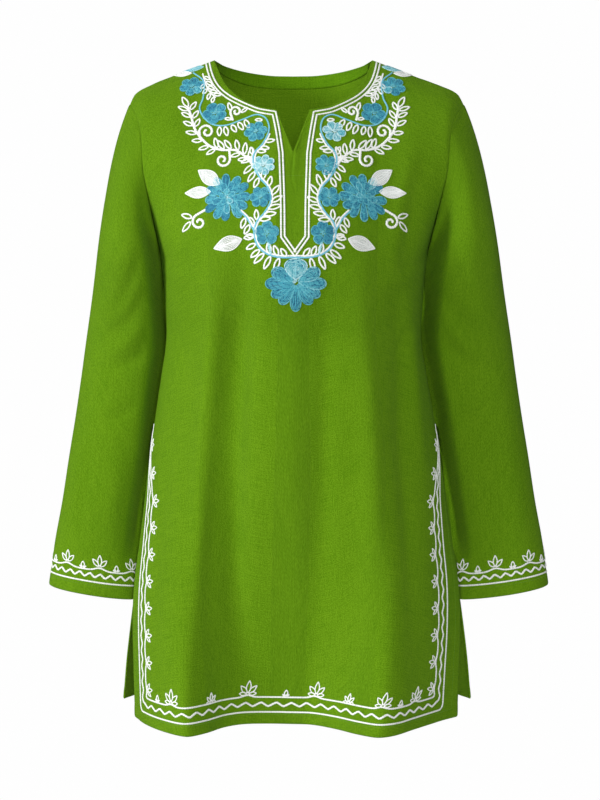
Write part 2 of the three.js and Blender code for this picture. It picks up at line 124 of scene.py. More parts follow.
def turned(degrees: float) -> Array:
    """Matrix that turns plane points anticlockwise."""
    turn = math.radians(degrees)
    return np.array([[math.cos(turn), -math.sin(turn)], [math.sin(turn), math.cos(turn)]])


def round_wave(angle: Array) -> Array:
    """Wave from -1 to 1 with nearly straight flanks and rounded crests."""
    return np.arcsin(WAVE_CREST * np.cos(angle)) / math.asin(WAVE_CREST)


class Curve:
    """Smooth curve through rows of a key and its values."""

    def __init__(self, *rows: tuple[float, ...]) -> None:
        """Sorts the rows by key and takes their slopes.

        Args:
            rows: Each a key followed by its values.
        """
        table = np.array(sorted(rows), float)
        self.keys, self.values = table[:, 0], table[:, 1:]
        place = np.arange(len(table))
        before = np.maximum(place - 1, 0)
        after = np.minimum(place + 1, len(table) - 1)
        run = self.keys[after] - self.keys[before]
        self.slopes = (self.values[after] - self.values[before]) / run[:, None]

    def read(self, key: Any) -> Array:
        """The values at each key, held level past the ends."""
        at = np.clip(np.asarray(key, float), self.keys[0], self.keys[-1])
        i = np.clip(np.searchsorted(self.keys, at) - 1, 0, len(self.keys) - 2)
        step = (self.keys[i + 1] - self.keys[i])[..., None]
        t = (at - self.keys[i])[..., None] / step
        return hermite(
            self.values[i], self.slopes[i] * step, self.values[i + 1], self.slopes[i + 1] * step, t
        )


def soft_line(points: Sequence[Sequence[float]], step: float = 1.0) -> Array:
    """A smooth line through points.

    Args:
        points: The points that it passes, in order.
        step: Spacing of the points that come back.

    Returns:
        Points along the line.
    """
    stops = np.array(points, float)
    run = run_lengths(stops)
    curve = Curve(*[(run[i], *stops[i]) for i in range(len(stops))])
    return curve.read(np.linspace(0, run[-1], max(int(run[-1] / step), 2) + 1))


def even_spaced(points: Array, values: Array, count: int) -> tuple[Array, Array]:
    """Points and what goes with them, evenly spaced along their line."""
    run = run_lengths(points)
    at = np.linspace(0, run[-1], count)
    columns = [np.interp(at, run, column) for column in np.hstack([points, values]).T]
    both = np.stack(columns, axis=-1)
    return both[:, :3], both[:, 3:]


# Form of the garment, in millimetres, as its solids have it

UNDERARM_Z, CENTRE_CHEST_Z, SLIT_TOP_Z, HEM_Z = -215.0, -262.0, -425.0, -747.0
SLIT_HEIGHT = SLIT_TOP_Z - HEM_Z
NECK_SHARE, SLIT_SHARE = 0.42, 0.0756
NECK_TURN, SLIT_TURN, CUFF_TURN, HEM_TURN = 9.0, 12.0, 11.5, 14.0
CLOTH_WALL, TURNED_WALL, NECK_WALL = 1.1, 2.0, 1.3
SLOPE_STEP = 8
ARMHOLE_LEAN = np.array([0.97, 0, -0.24]) / math.hypot(0.97, 0.24)

SHOULDER = Curve(
    (0, 91, 5, -3), (0.45, 137, 4, -20.5), (0.75, 167.5, 2, -32.5), (0.92, 185, 1, -42), (1, 192, 0, -54)
)
BODY = Curve(
    (-190, 159, 117, 98), (-215, 155, 121, 97), (-245, 151.5, 121, 92), (-278, 149, 114, 83),
    (-324, 147.5, 102, 77), (-371, 154.5, 105, 87), (-417, 162, 113, 100), (-463, 168.5, 119, 108),
    (-509, 174, 122, 112), (-598, 184.5, 122, 112), (-747, 196, 122, 112),
)  # fmt: skip
SLEEVE = Curve(
    (-240, 189.5, 6, 43.5, 58), (-285, 193.5, 18, 47, 52), (-332, 194.5, 27, 54, 46),
    (-380, 202, 28, 53.5, 43), (-424, 209.5, 25, 52.5, 41), (-470, 217, 17, 52, 39.5),
    (-518, 225, 1, 50, 38), (-565, 230.5, -12, 52, 36), (-613, 234, -24, 54, 33),
)  # fmt: skip


def sway(points: Array) -> Array:
    """The points with the shoulders, edges and sleeves hung a little to the wearer's left."""
    side = np.abs(points[..., 0])
    moved = points.copy()
    moved[..., 0] += 4 * smooth(140, 200, side) + 2 * smooth(200, 250, side)
    return moved


@dataclass(frozen=True)
class Fold:
    """Soft fold of the body: place across at the waist and at the slit, width, height."""

    waist: float
    slit: float
    width: float
    height: float


@dataclass(frozen=True)
class PanelForm:
    """Form of the front or the back of the tunic."""

    sign: float
    depth: int
    swell: float
    swell_by_neck: float
    neck: Curve
    armhole: Curve
    edge: Curve
    hem: Curve
    folds: tuple[Fold, ...]
    slit: Curve | None = None

    def fold_height(self, u: Array, z: Array) -> Array:
        """Height of the soft folds above the plain body."""
        grown = smooth(-225, -345, z) * (1 - smooth(-480, -700, z))
        down = smooth(-324, SLIT_TOP_Z, z)
        height = sum(f.height * bell(u - mix(f.waist, f.slit, down), f.width) for f in self.folds)
        return height * grown * (1 - u * u)

    def skirt(self, u: Array, z: Array) -> Array:
        """Points of the body below the chest, an oval that turns into the folded hem.

        Args:
            u: Shares across, -1 to 1.
            z: Levels in millimetres.

        Returns:
            The points.
        """
        body, angle = BODY.read(z), u * np.pi / 2
        x = body[..., 0] * np.sin(angle)
        y = self.sign * (body[..., self.depth] + self.fold_height(u, z)) * np.cos(angle)
        opened = np.clip((SLIT_TOP_Z - z) / SLIT_HEIGHT, 0, 1) ** 1.15
        hem, edge, corner = self.hem.read((u + 1) / 2), self.edge.read(z), self.hem.values[-1]
        near = np.where(z < SLIT_TOP_Z, np.abs(u) ** 3, 0)
        x = mix(x, hem[..., 0], opened)
        y = mix(y, hem[..., 1], opened)
        x = x + np.sign(u) * near * (edge[..., 0] - mix(body[..., 0], corner[0], opened))
        y = y + near * (edge[..., 1] - mix(0, corner[1], opened))
        return stack(x, y, z)

    def top(self, u: Array) -> Array:
        """Points of the neck edge and the shoulder seam.

        Args:
            u: Shares across, -1 to 1.

        Returns:
            The points.
        """
        across = np.abs(u)
        at = across / NECK_SHARE
        neck = self.neck.read(at)
        if self.slit is not None:
            neck = np.where((across < SLIT_SHARE)[..., None], self.slit.read(at), neck)
        shoulder = SHOULDER.read((across - NECK_SHARE) / (1 - NECK_SHARE))
        top = np.where((across <= NECK_SHARE)[..., None], neck, shoulder)
        top[..., 0] *= np.sign(u)
        return top

    def column(self, u: Array, t: Array) -> Array:
        """Plain line from the top edge over the shoulder and down to the chest.

        Args:
            u: Shares across, -1 to 1.
            t: Shares down from the top edge to the chest.

        Returns:
            The points.
        """
        level = mix(CENTRE_CHEST_Z, UNDERARM_Z, u * u)
        top, bottom, above = self.top(u), self.skirt(u, level), self.skirt(u, level + SLOPE_STEP)
        drop = top[..., 2] - bottom[..., 2]
        down = mix(0.95, 0.4, smooth(0.2, 0.5, np.abs(u)))
        by_neck = bell(np.abs(u) - NECK_SHARE - 0.04, 0.16)
        swell = self.swell * (1 + self.swell_by_neck * by_neck)
        leaving = stack(0 * drop, swell * (bottom[..., 1] - top[..., 1]), -down * drop)
        arriving = (bottom - above) * (drop / SLOPE_STEP)[..., None]
        return hermite(top, leaving, bottom, arriving, t[..., None])

    def point(self, u: Array, row: Array) -> Array:
        """Points at share u across and row 0 to 1 down the yoke, to 2 at the slits, to 3 at the hem.

        Args:
            u: Shares across, -1 to 1.
            row: Rows, 0 to 3.

        Returns:
            The points.
        """
        t = np.clip(row, 0, 1)
        pull = np.clip((np.abs(u) - 0.3) / 0.7, 0, 1)[..., None] ** 1.7
        outward = self.armhole.read(t) - self.column(np.ones_like(u), t)
        outward[..., 0] *= np.sign(u)
        yoke = self.column(u, t) + pull * outward
        chest = mix(CENTRE_CHEST_Z, UNDERARM_Z, u * u)
        level = np.where(
            row < 2, mix(chest, SLIT_TOP_Z, row - 1), mix(SLIT_TOP_Z, HEM_Z, row - 2)
        )
        return np.where((row <= 1)[..., None], yoke, self.skirt(u, np.clip(level, HEM_Z, 0)))

    def half_width(self, y: Array, z: Array) -> Array:
        """Half width of the panel where it stands at depth y, the wider of its two sides.

        Args:
            y: Depths.
            z: Levels in millimetres.

        Returns:
            The half widths.
        """
        inner, outer = np.zeros_like(y), np.ones_like(y)
        for _ in range(12):
            middle = (inner + outer) / 2
            deeper = (self.skirt(middle, z)[..., 1] - y) * self.sign > 0
            inner, outer = np.where(deeper, middle, inner), np.where(deeper, outer, middle)
        return np.maximum(self.skirt(outer, z)[..., 0], -self.skirt(-outer, z)[..., 0])


FRONT = PanelForm(
    sign=-1,
    depth=1,
    swell=1.9,
    swell_by_neck=-0.35,
    slit=Curve((0, 0, -85, -113), (0.18, 18.5, -55, -64)),
    neck=Curve(
        (0.18, 18.5, -55, -64), (0.28, 30, -53, -62.5), (0.45, 45, -47, -58),
        (0.64, 62, -37, -48), (0.82, 78, -21, -31), (1, 91, 5, -3),
    ),
    armhole=Curve(
        (0, 192, 0, -54), (0.15, 182.5, -20, -68), (0.3, 175.5, -34, -92), (0.5, 172, -41, -131),
        (0.68, 164, -37, -170), (0.85, 157.5, -22, -201), (1, 155, 0, -215),
    ),
    edge=Curve(
        (-425, 163, 0), (-463, 168.5, -8), (-509, 174, -19), (-554, 179.5, -31), (-598, 185.5, -43),
        (-640, 187, -55), (-690, 185, -68), (-747, 182.5, -80),
    ),
    hem=Curve(
        (0, -182.5, -80), (0.085, -167, -116), (0.176, -141, -152), (0.233, -116, -172),
        (0.283, -95, -157), (0.353, -75, -130), (0.4, -56, -117), (0.455, -30, -114), (0.516, 0, -116),
        (0.557, 20, -119), (0.621, 45, -137), (0.69, 70, -162), (0.74, 92, -176), (0.783, 111, -168),
        (0.848, 131, -144), (0.91, 151, -119), (0.955, 167, -98), (1, 182.5, -80),
    ),
    folds=(
        Fold(-0.46, -0.46, 0.1, 6), Fold(-0.3, -0.3, 0.09, -5), Fold(-0.12, -0.13, 0.12, 2),
        Fold(0.13, 0.13, 0.12, -2.5), Fold(0.36, 0.38, 0.12, 6), Fold(0.58, 0.6, 0.09, -4),
    ),
)  # fmt: skip
BACK = PanelForm(
    sign=1,
    depth=2,
    swell=2.8,
    swell_by_neck=0.15,
    neck=Curve(
        (0, 0, 75, -15), (0.3, 28, 72, -14.5), (0.6, 58, 56, -11.5), (0.85, 81, 30, -7), (1, 91, 5, -3),
    ),
    armhole=Curve(
        (0, 192, 0, -54), (0.15, 184, 21, -68), (0.3, 178, 37, -92), (0.5, 173, 46, -131),
        (0.68, 166, 41, -170), (0.85, 159, 24, -201), (1, 155, 0, -215),
    ),
    edge=Curve(
        (-425, 163, 0), (-463, 169, 4), (-509, 175, 9), (-554, 181, 13), (-598, 188, 15),
        (-690, 200, 13), (-747, 205, 11),
    ),
    hem=Curve(
        (0, -205, 11), (0.093, -181, 53), (0.192, -147, 92), (0.274, -110, 113), (0.347, -75, 105),
        (0.422, -40, 92), (0.505, 0, 90), (0.588, 40, 99), (0.674, 80, 113), (0.746, 115, 106),
        (0.832, 151, 83), (0.916, 182, 50), (1, 205, 11),
    ),
    folds=(
        Fold(-0.4, -0.44, 0.11, 6), Fold(-0.1, -0.06, 0.12, -4), Fold(0.3, 0.36, 0.12, 5),
        Fold(0.62, 0.6, 0.09, -3),
    ),
)  # fmt: skip


class Side(Enum):
    """The wearer's side that a sleeve is on."""

    RIGHT = -1
    LEFT = 1


@dataclass(frozen=True)
class SleeveForm:
    """Form of a sleeve, set in to the armhole and narrowing to the cuff."""

    side: Side
    tilt: float = 0.15
    clearance: float = 1.0
    edge_clearance: float = 4
    gap_reach: float = 0.3
    cap_share: float = 0.3
    cap_reach: float = 38
    bicep: float = -240
    cuff: float = -613

    def clear_of_body(self, y: Array, z: Array) -> Array:
        """Least half width at which the sleeve clears the body.

        Args:
            y: Depths.
            z: Levels in millimetres.

        Returns:
            The half widths.
        """
        in_front = y < 0
        above = np.where(in_front, FRONT.half_width(y, z), BACK.half_width(y, z)) + self.clearance
        from_front = y - FRONT.edge.read(z)[..., 1]
        from_back = BACK.edge.read(z)[..., 1] - y
        gap = np.clip(np.minimum(from_front, from_back), 0, None)
        width = np.where(from_front < from_back, FRONT.half_width(y, z), BACK.half_width(y, z))
        return np.where(z > SLIT_TOP_Z, above, width + self.edge_clearance - self.gap_reach * gap)

    def section(self, z: Array, angle: Array) -> Array:
        """Points round the sleeve at level z, from the top line at angle 0 by the front.

        Args:
            z: Levels in millimetres.
            angle: Angles in radians.

        Returns:
            The points, as on the wearer's left.
        """
        x, y, half, depth = np.moveaxis(SLEEVE.read(z), -1, 0)
        across = half * np.cos(angle)
        point = stack(x + across, y - depth * np.sin(angle), z + self.tilt * across)
        clear = self.clear_of_body(point[..., 1], point[..., 2])
        inner = np.maximum(point[..., 0], clear)
        point[..., 0] = np.where(np.cos(angle) < 0, inner, point[..., 0])
        return point

    def point(self, turn: Array, t: Array) -> Array:
        """Points at turn 0 to 2 round the armhole and share t down the sleeve.

        Args:
            turn: Turns, the front from 0 to 1.
            t: Shares down.

        Returns:
            The points.
        """
        share = np.where(turn <= 1, turn, 2 - turn)
        in_front = (turn <= 1)[..., None]
        head = np.where(in_front, FRONT.armhole.read(share), BACK.armhole.read(share))
        angle = np.pi * turn
        arm_t = np.clip((t - self.cap_share) / (1 - self.cap_share), 0, 1)
        arm = self.section(mix(self.bicep, self.cuff, arm_t), angle)
        bottom = self.section(np.full_like(turn, self.bicep), angle)
        below = self.section(np.full_like(turn, self.bicep - SLOPE_STEP), angle)
        chord = bottom - head
        outward = mix(5, self.cap_reach, ((1 + np.cos(angle)) / 2) ** 1.4)
        leaving = 0.8 * chord + ARMHOLE_LEAN * outward[..., None]
        arriving = (below - bottom) * np.linalg.norm(chord, axis=-1, keepdims=True) / SLOPE_STEP
        cap_t = np.clip(t / self.cap_share, 0, 1)[..., None]
        cap = hermite(head, leaving, bottom, arriving, cap_t)
        sewn = self.clearance * (1 - smooth(UNDERARM_Z, UNDERARM_Z - 25, cap[..., 2]))
        clear = self.clear_of_body(cap[..., 1], cap[..., 2]) - sewn
        cap[..., 0] = np.where(cap[..., 2] < UNDERARM_Z, np.maximum(cap[..., 0], clear), cap[..., 0])
        point = np.where((t > self.cap_share)[..., None], arm, cap)
        point[..., 0] *= self.side.value
        return point


# Cloth


@dataclass(frozen=True)
class Crease:
    """Soft crease or ridge along a given path.

    path runs in X and Z as seen from the front, height is above the cloth where positive.
    """

    path: tuple[tuple[float, float], ...]
    height: float
    width: float

    def lift(self, points: Array) -> Array:
        """Height that the crease adds at each point.

        Args:
            points: Points of the cloth.

        Returns:
            The heights.
        """
        place = points[..., [0, 2]]
        line = soft_line(self.path, 6)
        run = run_lengths(line)
        nearest = np.full(place.shape[:-1], np.inf)
        along = np.zeros_like(nearest)
        for k in range(len(line) - 1):
            step = line[k + 1] - line[k]
            t = np.clip(((place - line[k]) @ step) / (step @ step), 0, 1)
            away = np.linalg.norm(place - line[k] - t[..., None] * step, axis=-1)
            closer = away < nearest
            nearest = np.where(closer, away, nearest)
            along = np.where(closer, (run[k] + t * (run[k + 1] - run[k])) / run[-1], along)
        taper = np.sin(np.pi * np.clip(along, 0.0, 1.0)) ** 0.8
        return self.height * bell(nearest, self.width) * taper


def creases(*rows: tuple) -> tuple[Crease, ...]:
    """Creases from rows of a height, a width and the places of a path."""
    return tuple(Crease(tuple(path), height, width) for height, width, *path in rows)


def grid_normals(grid: Array, closed: bool) -> Array:
    """Directions square to a grid of points, from its neighbours' differences.

    Args:
        grid: Rows and columns of points.
        closed: Whether the last column meets the first.

    Returns:
        The directions.
    """
    if closed:
        across = np.roll(grid, -1, axis=1) - np.roll(grid, 1, axis=1)
    else:
        across = np.empty_like(grid)
        across[:, 1:-1] = grid[:, 2:] - grid[:, :-2]
        across[:, 0] = grid[:, 1] - grid[:, 0]
        across[:, -1] = grid[:, -1] - grid[:, -2]
    down = np.empty_like(grid)
    down[1:-1] = grid[2:] - grid[:-2]
    down[0] = grid[1] - grid[0]
    down[-1] = grid[-1] - grid[-2]
    return unit(np.cross(down, across))


def mesh_object(
    name: str,
    points: Array,
    faces: list[Sequence[int]],
    corner_uv: Array | None = None,
    tone: Array | None = None,
) -> Piece:
    """A smooth-shaded object from points in millimetres.

    Args:
        name: Its name.
        points: Its vertices.
        faces: Vertex numbers of each face, outward.
        corner_uv: UV of each face corner in order, in metres.
        tone: A shade from 0 to 1 for each vertex.

    Returns:
        The object, linked to the scene.
    """
    mesh = bpy.data.meshes.new(name)
    mesh.from_pydata((points * MM).tolist(), [], faces)
    if corner_uv is not None:
        layer = mesh.uv_layers.new(name="thread")
        layer.data.foreach_set("uv", corner_uv.astype(np.float32).ravel())
    if tone is not None:
        shade = mesh.attributes.new("tone", "FLOAT", "POINT")
        shade.data.foreach_set("value", tone.astype(np.float32))
    mesh.polygons.foreach_set("use_smooth", np.ones(len(mesh.polygons), bool))
    mesh.update()
    piece = bpy.data.objects.new(name, mesh)
    bpy.context.scene.collection.objects.link(piece)
    return piece


@dataclass
class Cloth:
    """A sheet of cloth with its surface, along which stitches are laid."""

    name: str
    grid: Array
    closed: bool
    thickness: Array
    free: Array
    flip: bool = False
    normals: Array = field(init=False)
    tree: BVHTree = field(init=False)

    def __post_init__(self) -> None:
        """Takes the normals and the search tree of the outer surface."""
        self.normals = grid_normals(self.grid, self.closed) * (-1 if self.flip else 1)
        self.tree = BVHTree.FromPolygons(self.grid.reshape(-1, 3).tolist(), self.quads().tolist())

    def quads(self) -> Array:
        """Vertex numbers of the grid's quads, outward.

        Returns:
            Four numbers a quad.
        """
        rows, columns = self.grid.shape[:2]
        spans = columns if self.closed else columns - 1
        i, j = np.meshgrid(np.arange(rows - 1), np.arange(spans), indexing="ij")
        a, b = i * columns + j, i * columns + (j + 1) % columns
        quads = np.stack([a, a + columns, b + columns, b], axis=-1).reshape(-1, 4)
        return quads[:, ::-1] if self.flip else quads

    def borders(self) -> list[Array]:
        """Vertex numbers round each border, with the cloth on one side.

        Returns:
            A closed ring a border, its first number again at its end.
        """
        rows, columns = self.grid.shape[:2]
        top = np.arange(columns)
        foot = top + (rows - 1) * columns
        if self.closed:
            return [np.append(top, top[0]), np.append(foot, foot[0])[::-1]]
        left = np.arange(rows) * columns
        right = left + columns - 1
        return [np.concatenate([top[:-1], right[:-1], foot[:0:-1], left[::-1]])]

    def make(self) -> Piece:
        """The cloth as a closed wall with rounded free edges."""
        outer = self.grid.reshape(-1, 3)
        inner = (self.grid - self.normals * self.thickness[..., None]).reshape(-1, 3)
        points, count = [outer, inner], 2 * len(outer)
        quads = self.quads()
        faces = [quads, quads[:, ::-1] + len(outer)]
        beside = self.inward_neighbours()
        for border in self.borders():
            ring = border[:-1]
            out = unit(outer[ring] - outer[beside[ring]])
            bulge = (self.thickness * self.free).reshape(-1)[ring] / 2
            points.append((outer[ring] + inner[ring]) / 2 + out * bulge[:, None])
            rim = np.arange(len(ring)) + count
            count += len(ring)
            following, rim_next = np.roll(ring, -1), np.roll(rim, -1)
            up = np.stack([ring, following, rim_next, rim], axis=-1)
            down = np.stack([rim, rim_next, following + len(outer), ring + len(outer)], axis=-1)
            faces += [up[:, ::-1], down[:, ::-1]] if self.flip else [up, down]
        across = self.flat_across()
        down = run_lengths(self.grid, axis=0)
        flat = np.stack([across[:, : down.shape[1]], down], axis=-1).reshape(-1, 2) * MM
        every = np.concatenate(faces)
        flat = np.concatenate([flat, flat, *[flat[b[:-1]] for b in self.borders()]])
        corner_uv = flat[every]
        if self.closed:
            wrap = across[:, -1].max() * MM
            wide = corner_uv[..., 0].max(axis=1) - corner_uv[..., 0].min(axis=1) > wrap / 2
            low = corner_uv[..., 0] < wrap / 2
            corner_uv[..., 0] += np.where(wide[:, None] & low, wrap, 0)
        return mesh_object(self.name, np.concatenate(points), every.tolist(), corner_uv)

    def flat_across(self) -> Array:
        """How far across the flat cloth each column lies, from the middle or from the seam."""
        if self.closed:
            return run_lengths(np.concatenate([self.grid, self.grid[:, :1]], axis=1), axis=1)
        run = run_lengths(self.grid, axis=1)
        return run - run[:, [run.shape[1] // 2]]

    def inward_neighbours(self) -> Array:
        """For each vertex, the one beside it away from the border."""
        rows, columns = self.grid.shape[:2]
        i, j = np.meshgrid(np.arange(rows), np.arange(columns), indexing="ij")
        i2 = np.clip(i, 1, rows - 2)
        j2 = j if self.closed else np.clip(j, 1, columns - 2)
        return (i2 * columns + j2).reshape(-1)

    def nearest(self, points: Array) -> tuple[Array, Array]:
        """The surface's points and normals nearest to the given ones."""
        found = [self.tree.find_nearest(p) for p in points.tolist()]
        return self.as_arrays(found)

    def seen(self, origin: Array, aims: Array) -> tuple[Array, Array]:
        """Surface points and normals where lines from an origin through aims meet the cloth.

        Args:
            origin: Where the lines start.
            aims: What they run through.

        Returns:
            The surface points and their outward directions.
        """
        found = []
        start = Vector(origin)
        for aim in aims.tolist():
            hit = self.tree.ray_cast(start, Vector(aim) - start)
            found.append(hit if hit[0] is not None else self.tree.find_nearest(aim))
        return self.as_arrays(found)

    @staticmethod
    def as_arrays(found: list[tuple]) -> tuple[Array, Array]:
        """Points and normals from what the search tree found."""
        return (
            np.array([list(f[0]) for f in found]),
            np.array([list(f[1]) for f in found]),
        )


def both_sides(half: Array) -> Array:
    """Shares mirrored to the other side of 0."""
    return np.concatenate([-half[:0:-1], half])


def turned_edge(distance: Array, width: float) -> Array:
    """Lift of a turned and stitched edge, seen from the outside."""
    double = 0.4 * (1 - smooth(width - 0.5, width + 2.5, distance))
    return double - 0.35 * bell(distance - width, 1.0) - 0.7 * bell(distance, 0.9)


def sewn_edge(distance: Array, along: Array, phase: float) -> Array:
    """Dip of the cloth into a seam, with the slight pucker of its stitches."""
    pucker = np.sin(along / 4.7 + phase) + 0.6 * np.sin(along / 2.9 + 2 * phase)
    return -0.45 * bell(distance, 1.4) - 0.1 * pucker * bell(distance - 3, 4.5)


@dataclass(frozen=True)
class Panel:
    """Front or back panel: its form, columns, rows and creases."""

    name: str
    form: PanelForm
    columns: Array
    rows: Array
    creases: tuple[Crease, ...]
    slit_seam: bool = False

    def cloth(self) -> Cloth:
        """The panel with its creases, seams and turned edges.

        Returns:
            The cloth, outward side out.
        """
        u, row = np.meshgrid(self.columns, self.rows)
        grid = self.form.point(u, row)
        normals = grid_normals(grid, False) * -self.form.sign
        for crease in self.creases:
            lift = crease.lift(grid) * (1 - bell(1 - np.abs(u), 0.12))
            grid = grid + normals * lift[..., None]
        normals = grid_normals(grid, False) * -self.form.sign
        lift = self.edge_lift(u, row, grid)
        grid = sway(grid + normals * lift[..., None])
        free_side = (row > 2) & (np.abs(u) > 1 - TINY)
        free_top = (row == 0) & (np.abs(u) < NECK_SHARE - TINY)
        free = free_side | free_top | (row == 3)
        doubled = free | (row > 3 - HEM_TURN / SLIT_HEIGHT)
        thickness = np.where(doubled, np.where(free_top, NECK_WALL, TURNED_WALL), CLOTH_WALL)
        return Cloth(self.name, grid, False, thickness, free * 1.0, self.form.sign > 0)

    def edge_lift(self, u: Array, row: Array, grid: Array) -> Array:
        """Lift of the seams and turned edges above the plain cloth.

        Args:
            u: Shares across, -1 to 1.
            row: Rows, 0 to 3.
            grid: The creased points.

        Returns:
            The heights.
        """
        down = run_lengths(grid, axis=0)
        across = run_lengths(grid, axis=1)
        from_side = np.minimum(across, across[:, -1:] - across)
        from_hem = down[-1:] - down
        on_neck = np.abs(u) < NECK_SHARE - TINY
        neck = turned_edge(down, NECK_TURN) * smooth(0, 0.03, NECK_SHARE - np.abs(u))
        top = np.where(on_neck, neck, sewn_edge(down, across, 0.4))
        side = np.where(row > 2.02, turned_edge(from_side, SLIT_TURN), sewn_edge(from_side, down, 1.1))
        lift = top + side + turned_edge(from_hem, HEM_TURN - 3)
        if self.slit_seam:
            x, z = grid[..., 0], grid[..., 2]
            fading = smooth(-166, -120, z) * smooth(0.002, 0.03, row)
            path = -1.6 * smooth(-113, -140, z) + 3.5 * smooth(-140, -162, z)
            lift = lift - fading * (1.5 * bell(x - path, 1.1) - 0.8 * bell(x - path - 3.6, 2.4))
        return lift


# Thread


@dataclass(frozen=True)
class Stitch:
    """Size of one chain stitch: width and height of the row, length of a link."""

    width: float
    height: float
    length: float


FINE = Stitch(2.2, 0.85, 2.7)
NECK_ROW = Stitch(2.3, 0.95, 2.8)
BOLD = Stitch(3.4, 1.1, 2.8)
FILL = Stitch(1.55, 0.8, 2.4)

# Section of a row of chain stitch: side and height of each point, and the link's phases
SECTION_SIDE = np.array([-1.0, -0.55, 0.0, 0.55, 1.0, 0.0])
SECTION_UP = np.array([0.05, 0.92, 0.92, 0.92, 0.05, -0.45])
GROOVE = np.array([0.0, 0.0, 1.0, 0.0, 0.0, 0.0])
LINK_WIDTH = np.array([0.74, 1.0, 0.94])
LINK_HEIGHT = np.array([0.85, 1.0, 0.9])
LINK_GROOVE = np.array([0.1, 0.55, 0.35])
PHASES = len(LINK_WIDTH)


